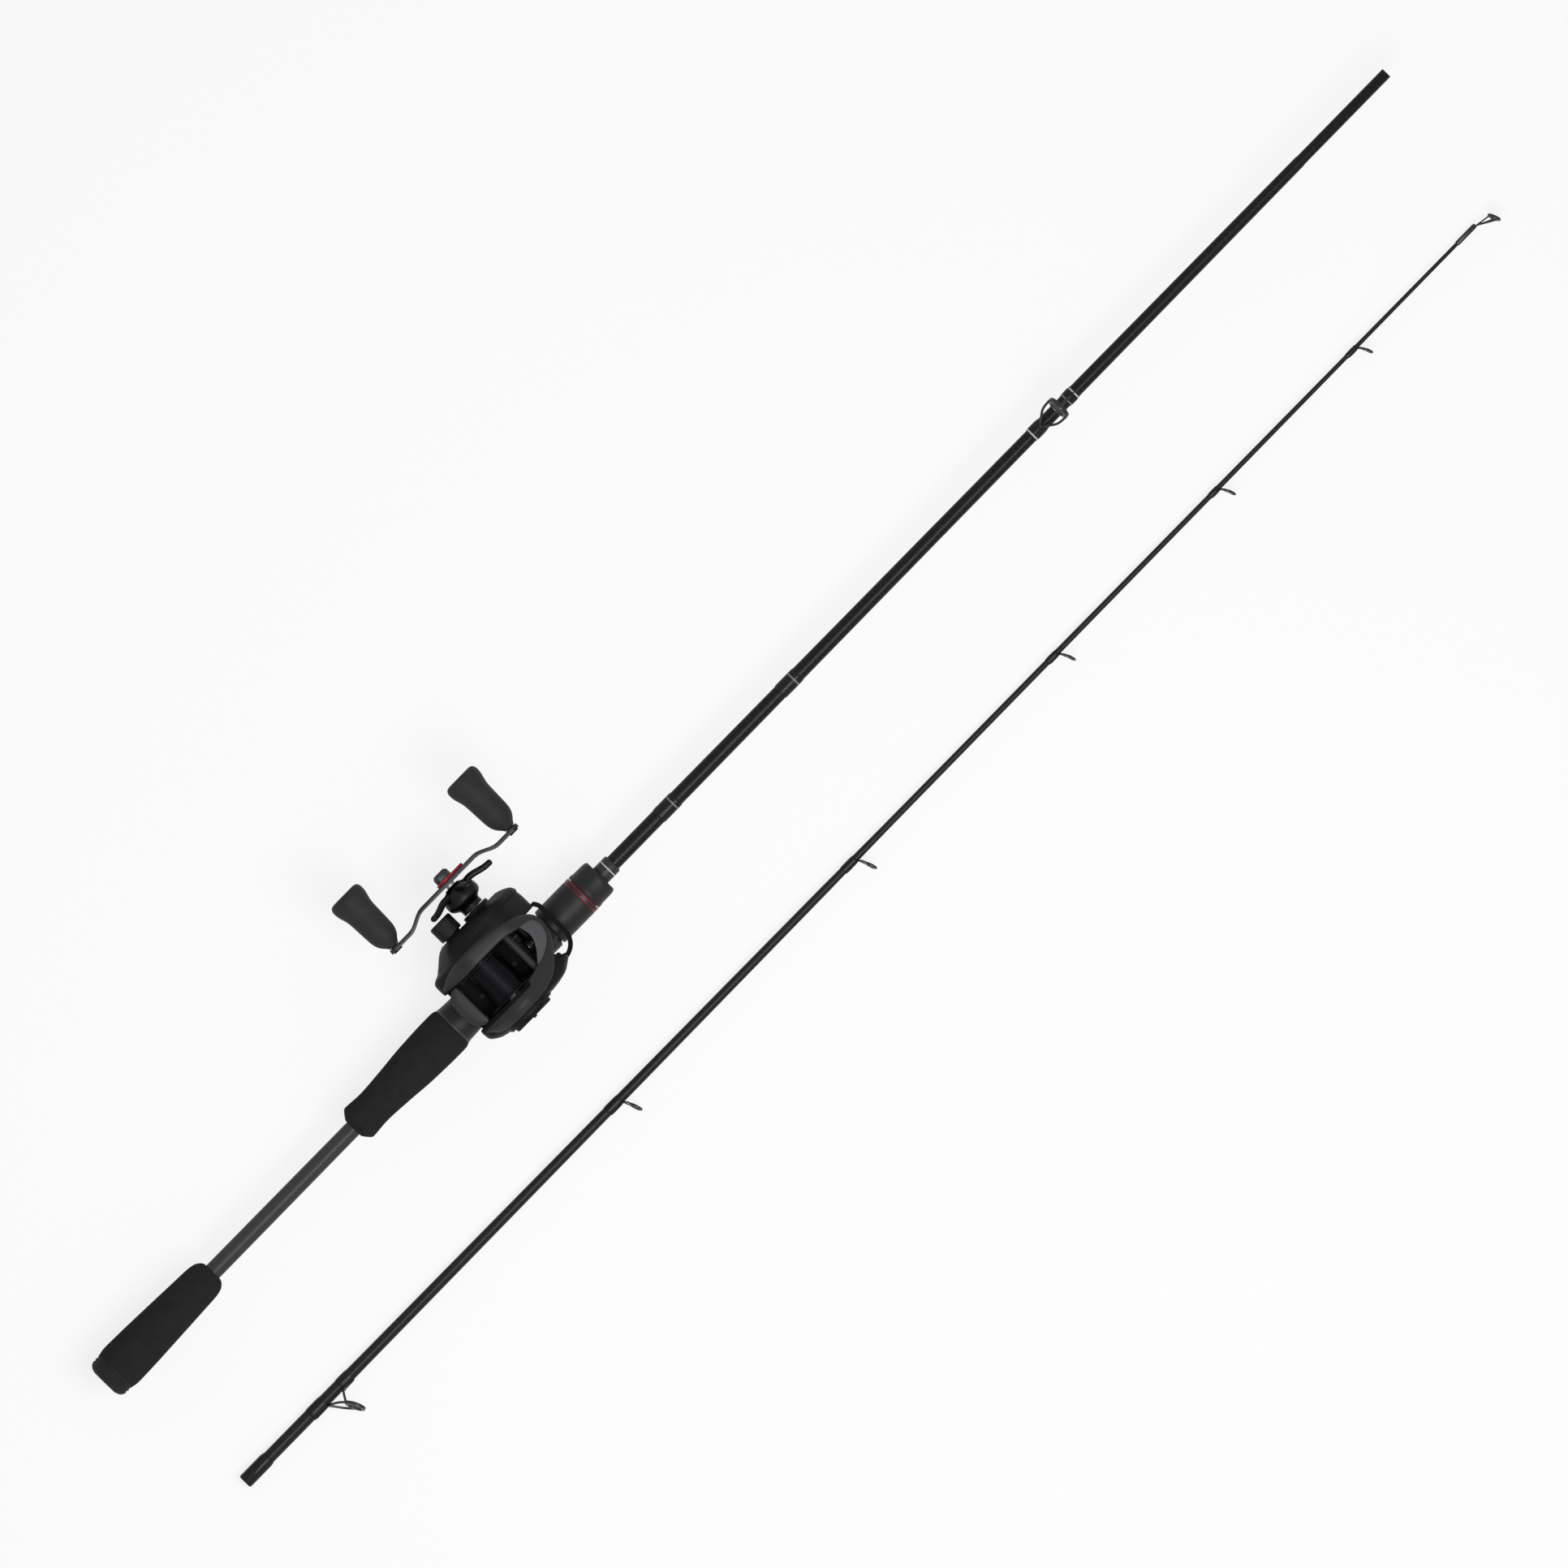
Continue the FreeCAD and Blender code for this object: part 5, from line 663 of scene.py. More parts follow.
# The first guide has a foot ahead too. The wraps' lumps lie over the feet, on the rings' side.
foot_angle = 90 + math.degrees(tip_turn)
frames, inserts, wraps = [], [], []
for number, (place, outer, height, lean, heel) in enumerate(TIP_GUIDES):
    double = number == 0
    wire, band, toe = (0.7, 0.9, -10) if double else (0.45, 0.6, -2.5)
    front = (1.5, 9.5) if double else None
    at = (tip_start + place, *tip_centre)
    frames += laid(guide(outer, band, 1.6 if double else 1.1, height, lean, tip_radius(place), wire,
                         heel + 1.5, toe, front), at, True)
    inside, lining = outer - band, 0.9 if double else 0.55
    inserts += laid([ring(inside, inside - lining, 2.2 if double else 1.5, height, lean, corner=0.6)],
                    at, True)
    for start, end in [(heel, toe - 0.5)] + ([(1.8, 11)] if double else []):
        wraps.append(sleeve(start, end, tip_radius(place + start), tip_radius(place + end), thick=0.32,
                            lump=wire * 0.9, foot=foot_angle, slope=3) + at)
ferrule_lap = turned([(0.4, 3.78), (0.4, 4.3), (1.0, 4.43), (17, 4.43), (18.6, 4.2), (20, 3.78), (0.4, 3.7),
                      (0.4, 3.78)])
wraps.append(ferrule_lap + (tip_start, *tip_centre))
piece("tip_wires", "tip_section", guide_chrome, frames, ["tip_guide_frames"])
piece("tip_inserts", "tip_section", ring_ceramic, inserts, ["tip_guide_rings"])
piece("tip_thread", "tip_section", thread("tip_thread_paint", []), wraps, ["tip_wraps"])

top_at = (tip_end + 11.3, *tip_centre)
top_height, top_lean = 5.2, 24
root = np.array([-10.5, 0, 0.6])
braces = [ring(4, 3, 1.5, top_height, top_lean)]
for degrees in (-70, 70, 180):
    spot = np.array(on_ring(3.5, degrees, top_height, top_lean))
    braces.append(rod(curve([root - (2.5, 0, 0), root, (root + spot) / 2, spot], 6), 0.45))
braces.append(collar([(-25.5, 1.4), (-25.2, 1.5), (-12, 1.5), (-10.6, 1.25), (-10.2, 0), (-11.3, 0)],
                     hole=1.06, steps=36))
piece("tip_top_wire", "tip_section", guide_chrome, laid(braces, top_at, True), ["tip_top"])
piece("tip_top_insert", "tip_section", ring_ceramic,
      laid([ring(3, 2.3, 1.9, top_height, top_lean, corner=0.6)], top_at, True), ["tip_top_ring"])


# ---- Reel frame, foot and screws -------------------------------------------------------------
# The frame is one moulding of graphite-filled nylon, with its deck, walls and bumper loop. It is
# screwed to a steel foot, and the covers are screwed to it.

def steel(slot, name=None, dark=(0.32, 0.32, 0.32), pale=(0.5, 0.5, 0.5), rough=0.28):
    """Machined metal: noise squeezed along Y into fine lines between two colours."""
    made = Finish(slot, name, metallic=1.0)
    lines = made.noise(0.6, 3, (1, 12, 1))
    return made.finish(made.mix(lines, dark, pale), rough + lines * 0.12, lines, 0.1, 0.01)


graphite = soft_paint("frame_paint", dark=0.0015, light=0.004, rough=0.42, shine=0.05)
keep("reel_frame", graphite)
black_steel = steel("steel", "black_steel", (0.005, 0.005, 0.006), (0.014, 0.014, 0.015), rough=0.35)
keep("reel_foot", black_steel)
keep("reel_screws", black_steel)


# ---- Side covers and nose --------------------------------------------------------------------
# The covers are moulded shells with a satin finish that close the gear case and the brake. The nose
# cover bridges them over the line guide, with a bare plate let into it.

# From the side, along the rod and up: the two shafts, and the circles (with a radius) that the covers
# are wrapped round.
DRIVE = (340, 27.028)
SPOOL = (320.6, 29)
REAR = (305.2, 21, 12)
FRONT = (351, 20.6, 13.8)
GEAR = (*DRIVE, 19.6)
TOP = (*SPOOL, 18.5)
PALM_FRONT = (342, 21.5, 12)
NOSE = (351, 22, 13.4)


def outline(circles, soft=0.8, count=200):
    """A soft hull of circles (across, up, radius): in each direction the circles' own edge points are
    weighted by how far they reach. The line is cut into equal lengths, starting below."""
    across, up, radius = np.asarray(circles, float).T[:, :, None]
    angle = np.linspace(-math.pi / 2, 3 * math.pi / 2, 1801)
    reach = across * np.cos(angle) + up * np.sin(angle) + radius
    weight = np.exp((reach - reach.max(0)) / soft)
    weight /= weight.sum(0)
    line = np.stack([(weight * (across + radius * np.cos(angle))).sum(0),
                     (weight * (up + radius * np.sin(angle))).sum(0)], -1)
    length = np.concatenate([[0], np.cumsum(np.linalg.norm(np.diff(line, axis=0), axis=1))])
    even = np.linspace(0, length[-1], count, endpoint=False)
    return np.stack([np.interp(even, length, line[:, i]) for i in (0, 1)], -1)


def shell(levels, axis="Y", soft=0.8, count=200, open_start=False):
    """Soft hulls of circles stacked along an axis, each level (place, circles). Its ends shrink to their
    own middles, unless the start is left open."""
    rows = [np.insert(outline(circles, soft, count), 1, place, axis=1) for place, circles in levels]
    if not open_start:
        rows.insert(0, rows[0].mean(0) + 0 * rows[0])
    rows.append(rows[-1].mean(0) + 0 * rows[-1])
    grid = np.stack(rows)
    return grid if axis == "Y" else grid[..., [0, 2, 1]]


def eased_levels(levels, per=7):
    """Levels with more between them, on the smooth run through their places and circles."""
    packed = np.array([[place, *np.ravel(circles)] for place, circles in levels])
    return [(row[0], row[1:].reshape(-1, 3)) for row in curve(packed, per)]


def lobes(circles, *rows):
    """Levels of the same circles: each row is a place, and how every circle moves across and up and
    shrinks there."""
    return [(place, [(x + across, z + up, radius - inset)
                     for (x, z, radius), (across, up, inset) in zip(circles, moves)])
            for place, *moves in rows]


def shrunk(level, place, inset):
    """A level again at another place, with its circles smaller."""
    return place, [(x, z, radius - inset) for x, z, radius in level[1]]


def satin(slot, name=None, dark=0.007, light=0.013, rough=0.34, shine=0.18):
    """Satin plastic: a cloud between two greys, and a fine grain that roughens it."""
    made = Finish(slot, name, shine=shine)
    grain = made.noise(0.25, 3)
    cloud = made.noise(9, 3)
    colour = made.mix(cloud, (dark, dark, dark * 1.05), (light, light * 1.01, light * 1.07))
    return made.finish(colour, rough + cloud * 0.14 + grain * 0.06, grain, 0.12, 0.02)


cover_satin = satin("cover_plastic", dark=0.0028, light=0.0068, rough=0.36, shine=0.1)
# The hood's plastic is a lighter, shinier copy of the covers' own: painted highlight, for the light that its
# up-facing band catches.
hood_satin_painted_highlight = satin("cover_plastic", "hood_satin_painted_highlight", dark=0.0085, light=0.0155, rough=0.36, shine=0.24)
CRANK_CIRCLES = (REAR, FRONT, GEAR, TOP)
crank_lip = lobes(
    CRANK_CIRCLES,
    (20, (0, -1, 2.8), (0, -0.6, 2), (0, 0, 2), (0, 0, 2.8)),
    (15.1, (0, -1, 2.6), (0, -0.6, 2), (0, 0, 2), (0, 0, 2.6)),
    (15.1, (-1.3, -1.2, 1.5), (0, -0.6, 1.5), (0, 0, 1.9), (0, 0, 2.1)),
    (15.5, (-1.3, -1.2, 0.9), (0, -0.6, 0.9), (0, 0, 1.6), (0, 0, 1.7)))
crank_outside = eased_levels(lobes(
    CRANK_CIRCLES,
    (17.6, (-1.3, -1.2, 0.6), (0, -0.6, 0.6), (0, 0, 1.4), (0, 0, 1.5)),
    (23.8, (-0.8, -0.9, 0.7), (0, -0.4, 0.6), (0, 0, 1.4), (0, 0, 1.6)),
    (26.6, (2.6, 0.2, 2.4), (0, 0, 0.9), (0, 0, 1.6), (0, -0.1, 2.6)),
    (28.2, (4, 0.7, 2.8), (0, 0, 0.9), (0, 0, 1.6), (0, -0.2, 3.4)),
    (29.0, (5, 1, 3), (0, 0.1, 0.4), (0, 0, 0.6), (0, -0.3, 4)),
    (32.2, (8.2, 1.8, 3.4), (-0.6, 0.8, 1.4), (-0.4, 0, 1.4), (0.4, -0.8, 5.8)),
    (34.6, (11, 2.6, 3.8), (-2, 2, 4.0), (-1.2, 0, 5.2), (1, -1.2, 7.6)),
    (35.7, (12.8, 3, 4.6), (-3.2, 2.4, 6), (-1.5, 0, 7.4), (1.4, -1.5, 8.8))), 5)
crank_levels = [*crank_lip, *crank_outside, shrunk(crank_outside[-1], 36.0, 0.8)]
at_drive, at_spool = ((x, 0, z) for x, z in (DRIVE, SPOOL))
clutch_boss = collar([(35, 9), (37.4, 9), (38, 8.6), (38.2, 8)], 5.2, at_drive, "Y", 72)
cast_boss = collar([(35, 5.4), (44, 5.4)], 4.6, at_spool, "Y", 48)
piece("gear_case", "rod", cover_satin, [shell(crank_levels, open_start=True), clutch_boss, cast_boss],
      ["crank_side_cover"])

# Below, the frame's flanges close the slits between the covers and the seat. Each is a rounded strip
# from its inner edge across to its outer one.
flanges = []
for inner, outer in ((11.6, 14.6), (-11.1, -12.7)):
    plan = (None, [(x, y, 0.8) for x, y in ((299.8, inner), (349, inner), (349, outer), (299.8, outer))])
    steps = ((9.0, 0.4), (9.4, 0), (10.2, 0), (10.6, 0.4))
    flanges.append(shell([shrunk(plan, place, inset) for place, inset in steps], "Z", 0.3, 96))
piece("frame_flanges", "rod", graphite, flanges)

PALM_CIRCLES = (REAR, PALM_FRONT, TOP)
palm_lip = lobes(
    PALM_CIRCLES,
    (-18, (0, -1, 2.6), (-1, -0.8, 2.4), (0, 0, 3)),
    (-13.1, (0, -1, 2.4), (2.6, -0.8, 2.4), (0, 0, 3)),
    (-13.1, (-1.4, -1.2, 1.5), (2.8, -0.8, 1.7), (0, 0, 2.3)),
    (-13.5, (-1.4, -1.2, 0.9), (3.2, -0.8, 1.2), (0, 0, 1.8)))
palm_outside = eased_levels(lobes(
    PALM_CIRCLES,
    (-15.6, (-1.4, -1.2, 0.6), (3.4, -0.8, 1), (0, 0, 1.6)),
    (-16.4, (-1.4, -1.1, 0.7), (5.2, -0.8, 0.9), (0, 0, 1.7)),
    (-18.8, (-1.2, -1.0, 0.8), (5.2, -0.8, 0.9), (0, 0, 1.8)),
    (-21, (-0.2, -0.8, 1), (2.8, -0.4, 1.2), (0, 0, 2.4)),
    (-23.8, (2.6, 0, 2.4), (-1.0, 0.6, 2), (0, 0, 3.4)),
    (-25.2, (5.6, 1.2, 3.6), (-5.4, 1.6, 2.9), (0, 0, 4.4)),
    (-26.0, (9, 2.2, 4.6), (-10, 2.8, 3.9), (0, 0, 5.2))), 6)
palm_levels = [*palm_lip, *palm_outside, shrunk(palm_outside[-1], -26.1, 0.8)]


def dial_rim():
    """A raised rim round the dial: round inside, and outside wider fore and aft by a squared cosine."""
    angle = np.linspace(0, 2 * math.pi, 120, endpoint=False)
    section = [(-20.5, 1), (-25.4, 1), (-26.5, 0.8), (-27, 0.5), (-27.1, 0.25), (-26.9, 0), (-20.5, 0),
               (-20.5, 1)]
    hole, narrow, wider = 13.5, 0.5, 2.3
    place, share = np.array(section).T[:, :, None]
    radius = hole + share * (narrow + wider * np.cos(angle) ** 2)
    return np.stack([SPOOL[0] + radius * np.cos(angle), place + 0 * angle,
                     SPOOL[1] + radius * np.sin(angle)], -1)


piece("brake_case", "rod", cover_satin, [shell(palm_levels, open_start=True), dial_rim()],
      ["palm_side_cover"])

upper_half = 21.5


def top_line(circles):
    """The upper side of a hull of circles, as places along the rod and heights."""
    line = outline(circles, 0.4, 900)
    line = line[line[:, 1] > upper_half]
    return line[np.argsort(line[:, 0])].T


CRANK_TOP = top_line([REAR, NOSE, TOP, (*DRIVE, 18.9)])
PALM_TOP = top_line([REAR, NOSE, TOP])


def over_reel(x, y):
    """Height of the hood: the side outline's own height, a little more over the gears."""
    share = np.clip((y + 4) / 16, 0, 1)
    share = share * share * (3 - 2 * share)
    return np.interp(x, *PALM_TOP) * (1 - share) + np.interp(x, *CRANK_TOP) * share


# The hood's and the plate's inner and outer edges seen from above, from the crank's side to the palm's.
BAND_INSIDE = [
    (294.4, 16.3), (298, 15.5), (303, 14.8), (311, 14.5), (320, 14.5), (329, 14.6), (337, 14.6),
    (343.5, 13.7), (349.5, 12.3), (355, 11.6), (358.6, 10.2), (359.9, 7), (359.8, 3.4), (358.2, -0.8),
    (354.8, -4.6), (349.6, -7.4), (343.5, -9.2), (337, -11.2), (329, -12.8), (320, -13.4), (311, -13.5),
    (303, -13.6), (298, -13.9), (294.4, -14.8)]
BAND_OUTSIDE = [
    (293.9, 18.4), (297, 20.2), (302, 22.3), (311, 24.2), (320, 24.6), (329, 24.1), (337.5, 23),
    (345.5, 21.1), (352, 18.8), (358, 15.3), (361.2, 11.3), (362.3, 7), (362.2, 2.6), (360.8, -1.8),
    (357.8, -6.8), (354, -11.2), (349.5, -16.4), (343.5, -20.4), (335.5, -22.8), (327, -23.8),
    (317, -24.1), (307.5, -23.5), (300, -21.3), (294.9, -17.4)]
PLATE_INSIDE = [(350.2, 12.4), (351.2, 8.6), (351.6, 5), (351, 2), (349.6, -0.9), (347.4, -4),
                (345, -6.8), (342.6, -9.6)]
PLATE_OUTSIDE = [(352.6, 13.2), (358.8, 11.4), (360.3, 8), (360.4, 4), (358.9, -0.8), (355.2, -4.8),
                 (350, -7.9), (343.2, -9.9)]
curve_steps = 8


def sheet(inside, outside, share, drop):
    """A sheet between two matching curves seen from above: a point lies a share of the way from the
    first to the second, and below the hood's height by the drop."""
    inner, outer = curve(inside, curve_steps), curve(outside, curve_steps)
    plan = inner + (outer - inner) * np.asarray(share)[:, None, None]
    height = over_reel(plan[..., 0], plan[..., 1]) - drop
    return np.concatenate([plan, height[..., None]], -1)


def nose_band():
    """The horseshoe round the spool and nose: across it the surface climbs from inside, runs nearly
    flat beside the crank but up to a soft ridge on the palm's side, rolls over its outer edge, and
    comes back underneath; each end is drawn to its middle."""
    share = [0.03, 0.0, 0.02, 0.07, 0.14, 0.3, 0.45, 0.52, 0.56, 0.6, 0.7, 0.86, 0.94, 0.985, 1.0, 0.99,
             0.9, 0.6, 0.3, 0.08, 0.03]
    flat = [2.6, 1.6, 0.8, 0.35, 0.15, 0.02, 0, 0, 0, 0, 0.02, 0.2, 0.5, 1.1, 2.2, 3.0, 2.9, 2.2, 2.2,
            2.5, 2.6]
    ridge = [2.6, 1.8, 1.3, 0.95, 0.75, 0.4, 0.14, 0.02, 0, 0.08, 0.45, 1.2, 1.6, 2.1, 2.9, 3.4, 3.3,
             2.6, 2.5, 2.6, 2.6]
    way = np.linspace(0, 1, (len(BAND_INSIDE) - 1) * curve_steps + 1)
    palm = np.interp(way, [0.5, 0.68], [0, 1])
    drop = np.outer(flat, 1 - palm) + np.outer(ridge, palm)
    band = sheet(BAND_INSIDE, BAND_OUTSIDE, share, drop)
    first, last = (band[:, i:i + 1].mean(0, keepdims=True) + 0 * band[:, :1] for i in (0, -1))
    return np.concatenate([first, band, last], 1)


def plate():
    """A crescent let into the horseshoe's front, a little lower, with an edge that shows at the window."""
    share = [0.0, 0.0, 0.04, 0.1, 0.4, 0.7, 1.0, 1.0, 0.0]
    drop = [2.4, 1.3, 0.95, 0.85, 0.75, 0.75, 0.8, 2.2, 2.4]
    return sheet(PLATE_INSIDE, PLATE_OUTSIDE, share, np.array(drop)[:, None])


# The hood takes the lighter copy of the cover plastic: painted highlight.
piece("nose_hood", "rod", hood_satin_painted_highlight, [nose_band()], ["nose_cover"], wrapped=False)
plate_grey = satin("plate_grey", dark=0.06, light=0.085)
piece("nose_plate", "rod", plate_grey, [plate()], ["label_plate"], wrapped=False)


# ---- Spool and brake -------------------------------------------------------------------------
# The spool is turned from aluminium, drilled and dyed black. A rotor on its shaft runs between the
# magnets' ring and the spool, and the dial outside moves the magnets.

def anodised(slot, name, colour, pale, axis, rough=0.3):
    """Dyed aluminium with fine turning rings square to an axis."""
    made = Finish(slot, name, metallic=1.0)
    along = made.along(axis)
    rings = (along * 15 + made.noise(3, 2) * 3).sin() * 0.5 + 0.5
    cloud = made.noise(2.5, 3)
    return made.finish(made.mix(rings * 0.15 + cloud * 0.6, colour, pale), rough + cloud * 0.12,
                       rings, 0.03, 0.01)


def eased(node, name, finish, bevel=0.0, sharp=38):
    """A copy of a node with its doubles merged, and its sharp edges broken where a bevel is given."""
    body = nodes[node]["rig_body"]
    made = bpy.data.objects.new(name, nodes[node].data.copy())
    bpy.context.scene.collection.objects.link(made)
    work = bmesh.new()
    work.from_mesh(made.data)
    bmesh.ops.remove_doubles(work, verts=work.verts, dist=2e-6)
    bmesh.ops.dissolve_limit(work, angle_limit=math.radians(1.2), verts=work.verts, edges=work.edges)
    work.to_mesh(made.data)
    work.free()
    made.data.materials.clear()
    made.data.materials.append(finish.material)
    made.data.shade_smooth()
    if bevel:
        edge = made.modifiers.new("broken_edges", "BEVEL")
        edge.width = bevel / 1000
        edge.segments = 2
        edge.limit_method = "ANGLE"
        edge.angle_limit = math.radians(sharp)
        edge.harden_normals = True
    else:
        made.data.set_sharp_from_angle(angle=math.radians(sharp))
    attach(made, body)
    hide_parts(node)
    return made


spool_black = anodised("spool_metal", "spool_black", (0.004, 0.004, 0.005), (0.014, 0.014, 0.016), "Y",
                       rough=0.28)
eased("spool", "line_spool", spool_black, sharp=30)
rotor_metal = anodised("spool_metal", "rotor_metal", (0.3, 0.3, 0.31), (0.5, 0.5, 0.52), "Y")
keep("brake_rotor", rotor_metal)
turned_steel = steel("steel")
keep("spool_shaft", turned_steel)
keep("brake_magnets", soft_paint("magnet_holder", dark=0.04, light=0.07, rough=0.5))


def fluted(profile, centre, count, depth, start, end, core, steps=8):
    """A turned form whose side is cut by flutes: between the start and the end, and outside the core's
    radius, the radius loses a depth times a rounded wave of the angle."""
    grid = turned(profile, centre, "Y", count * steps)
    angle = np.arange(count * steps) / steps * 2 * math.pi
    wave = np.clip(np.cos(angle), 0, 1) ** 1.5 * depth
    middle = np.asarray(centre, float)
    flat = grid - middle
    along = flat[..., 1:2]
    radius = np.linalg.norm(flat[..., [0, 2]], axis=-1, keepdims=True)
    cut = (along > start) & (along < end) & (radius > core)
    scale = 1 - cut * wave[:, None] / np.maximum(radius, core)
    flat = flat * np.concatenate([scale, np.ones_like(scale), scale], -1)
    return flat + middle


dial_profile = [
    (-24.8, 0), (-24.8, 2.9), (-26.5, 2.9), (-26.5, 12.4),
    *curve([(-26.7, 12.9), (-27.1, 13.15), (-28.0, 13.2), (-28.8, 12.9), (-29.15, 12.2)], 4),
    (-29.2, 11.4), (-28.9, 10.8), (-28.9, 0)]
rib_reach = 10
rib_line = [(place, [(SPOOL[0], SPOOL[1] + up, radius) for up in (-rib_reach, rib_reach)])
            for place, radius in ((-28.7, 1.3), (-29.7, 1.25), (-30.0, 0.9))]
piece("dial", "dial", cover_satin,
      [fluted(dial_profile, at_spool, 36, 0.5, -30, -26.6, 12.6), shell(rib_line, count=64, soft=0.2)],
      ["brake_dial"])


# ---- Gear train, drag and clutch -------------------------------------------------------------
# Machined brass gears drive the spool, moulded ones drive the level wind, and fibre washers slip
# between the main gear and the shaft. The shaft, its sleeve, the bearings and the clutch are steel.

brass = steel("gear_brass", "cut_brass", (0.45, 0.31, 0.1), (0.62, 0.46, 0.19), rough=0.25)
for node in ("main_gear", "pinion_gear"):
    keep(node, brass)
white_plastic = soft_paint("gear_plastic", dark=0.6, light=0.72, rough=0.45)
for node in ("wind_drive_gear", "worm_gear"):
    keep(node, white_plastic)
keep("drag_washers", soft_paint("drag_fibre", dark=0.03, light=0.06, rough=0.7))
for node in ("drive_shaft", "anti_reverse_sleeve", "anti_reverse_bearing", "spring_washers",
             "clutch_yoke", "ball_bearings"):
    keep(node, turned_steel)


# ---- Star drag and cast control --------------------------------------------------------------
# The star is cast aluminium, dyed dark, with five arms that droop towards the case. It turns on the
# shaft's thread. The cast control is a capped knob with a fluted rim.

star_metal = anodised("arm_metal", "star_metal", (0.01, 0.01, 0.011), (0.024, 0.024, 0.026), "Y",
                      rough=0.36)
star_hub = [
    (38.5, 6.6), (38.7, 6.8), (41.2, 6.8), (41.4, 6.6), (41.7, 6.8),
    *curve([(42.8, 7.6), (44.0, 9.6), (45.6, 10.9), (47.6, 11.2), (50.2, 10.9), (52.8, 9.6), (54.8, 7.4)], 6),
    (55.6, 5.4), (56.4, 4.6), (56.5, 3.2), (41.3, 3.2)]
arm_count = 5


def star_arm(turn):
    """A blunt oval bar from the hub out to a round tip, bent towards the case and turned round the
    shaft."""
    line = curve([(6.5, 52.6), (10.5, 53.0), (14, 52.6), (17.5, 51.6), (21, 50.8), (24.4, 50.5),
                  (26.4, 50.5)], 6)
    share = np.linspace(0, 1, len(line))
    closing = rounded(share, 0.14)
    wide = 3.7 - 1.3 * np.sin(share * math.pi) - 0.7 * share
    bar = blade(line, (2.1 - 0.3 * share) * closing, wide * closing, 28, 0.8)
    out, side, y = np.moveaxis(bar, -1, 0)
    x, z = out * math.cos(turn) - side * math.sin(turn), out * math.sin(turn) + side * math.cos(turn)
    return np.stack([x, y, z], -1) + np.array(at_drive)


arms = [star_arm(-2 * math.pi * number / arm_count) for number in range(arm_count)]
piece("star_wheel", "star", star_metal, [collar(star_hub, 5.9, at_drive, "Y", 72), *arms], ["star_drag"])

cast_hole = 5.75
cast_profile = [
    (36.8, cast_hole), (36.8, 7.1), (37.1, 7.35), (38, 7.5), (46.2, 7.5),
    *curve([(46.6, 7.45), (47.1, 7.1), (47.35, 6.5)], 4),
    (47.4, 5.6), (47.1, 5.2), (47.1, 0), (44.6, 0), (44.6, cast_hole), (36.8, cast_hole)]
piece("cast_knob", "cast_control", star_metal, [fluted(cast_profile, at_spool, 28, 0.28, 37.6, 46.4, 7)],
      ["cast_control_knob"])


# ---- Crank and its grips ---------------------------------------------------------------------
# The arm is a pressed aluminium bar bent in towards the reel, held by a nut over a red locking plate.
# Soft rubber grips run on steel spindles riveted through its ends.

arm_metal = anodised("arm_metal", "arm_metal", (0.022, 0.022, 0.024), (0.046, 0.046, 0.05), "Y",
                     rough=0.34)
eased("crank_arm", "arm_bar", arm_metal, bevel=0.35)
red_plate = anodised("red_anodised", "red_plate", (0.22, 0.014, 0.02), (0.4, 0.035, 0.045), "Z")
plate_plan = (None, [(*DRIVE, 6.3), (DRIVE[0] + 10.5, DRIVE[1], 3.0)])
plate_steps = ((60.5, 0.3), (60.8, 0), (61.7, 0), (62.1, 0.4))
piece("locking_plate", "crank", red_plate,
      [shell([shrunk(plate_plan, place, inset) for place, inset in plate_steps], soft=0.3, count=96)],
      ["crank_plate"])
eased("crank_nut", "arm_nut", arm_metal, bevel=0.3, sharp=30)

keep("knob_spindles", black_steel)
grip_rubber = rubber("knob_rubber", dark=0.017, light=0.034, rough=0.5)
knob_start = 56.1
knob_profile = [
    (0, 2.1), (0, 3.0),
    *curve([(0.1, 3.3), (1.6, 4.3), (3.4, 5.9), (5.6, 7.3), (8.1, 8.15), (11, 8.55), (15, 8.75),
            (19.1, 8.9), (23.5, 9.05), (27.3, 9.35), (30.2, 10.0), (33.0, 10.8), (35.4, 11.15),
            (37.6, 11.1), (39.3, 10.5), (40.3, 9.3), (40.7, 7.6)], 5),
    (40.7, 6.9), (40.45, 6.6), (40.45, 0)]
for name, node, x in (("rear_grip_knob", "rear_knob", 293), ("front_grip_knob", "front_knob", 387)):
    profile = [(knob_start + along, radius) for along, radius in knob_profile]
    piece(name + "_rubber", name, grip_rubber, [turned(profile, (x, 0, DRIVE[1]), "Y", 72)], [node])


# ---- Level wind and thumb bar ----------------------------------------------------------------
# The line guide slides on a slotted steel tube over the worm, which moves its pawl from side to side.
# The thumb bar behind the spool frees the clutch when it is pressed.

eased("line_guide", "line_carriage", cover_satin, bevel=0.25)
keep("line_guide_ring", ring_ceramic)
keep("pawl", brass)
keep("worm_shaft", black_steel)
keep("worm_guard", black_steel)
bar_grey = satin("bar_grey", dark=0.018, light=0.028, rough=0.36)
rail_start, rail_end = ends("guide_rail", 1)
rail_radius = 2.2
rail = [(rail_start, 0), (rail_start, rail_radius), (rail_end, rail_radius), (rail_end, 0)]
piece("front_rail", "rod", bar_grey, [turned(rail, (340.7, 0, 33), "Y", 40)], ["guide_rail"])


def thumb_plan(inset, back):
    """The bar's outline from above: straight in front and bowed behind."""
    corner, behind = 297 + back * 0.6, 294.4 + back
    plan = [(299.6, -11.1, 1.6), (299.6, 13.1, 1.6), (corner, 12.5, 1.8), (behind, 8.6, 2.6),
            (293.6 + back, 1, 2.6), (behind, -6.6, 2.6), (corner, -10.5, 1.8)]
    return [(x, y, radius - inset) for x, y, radius in plan]


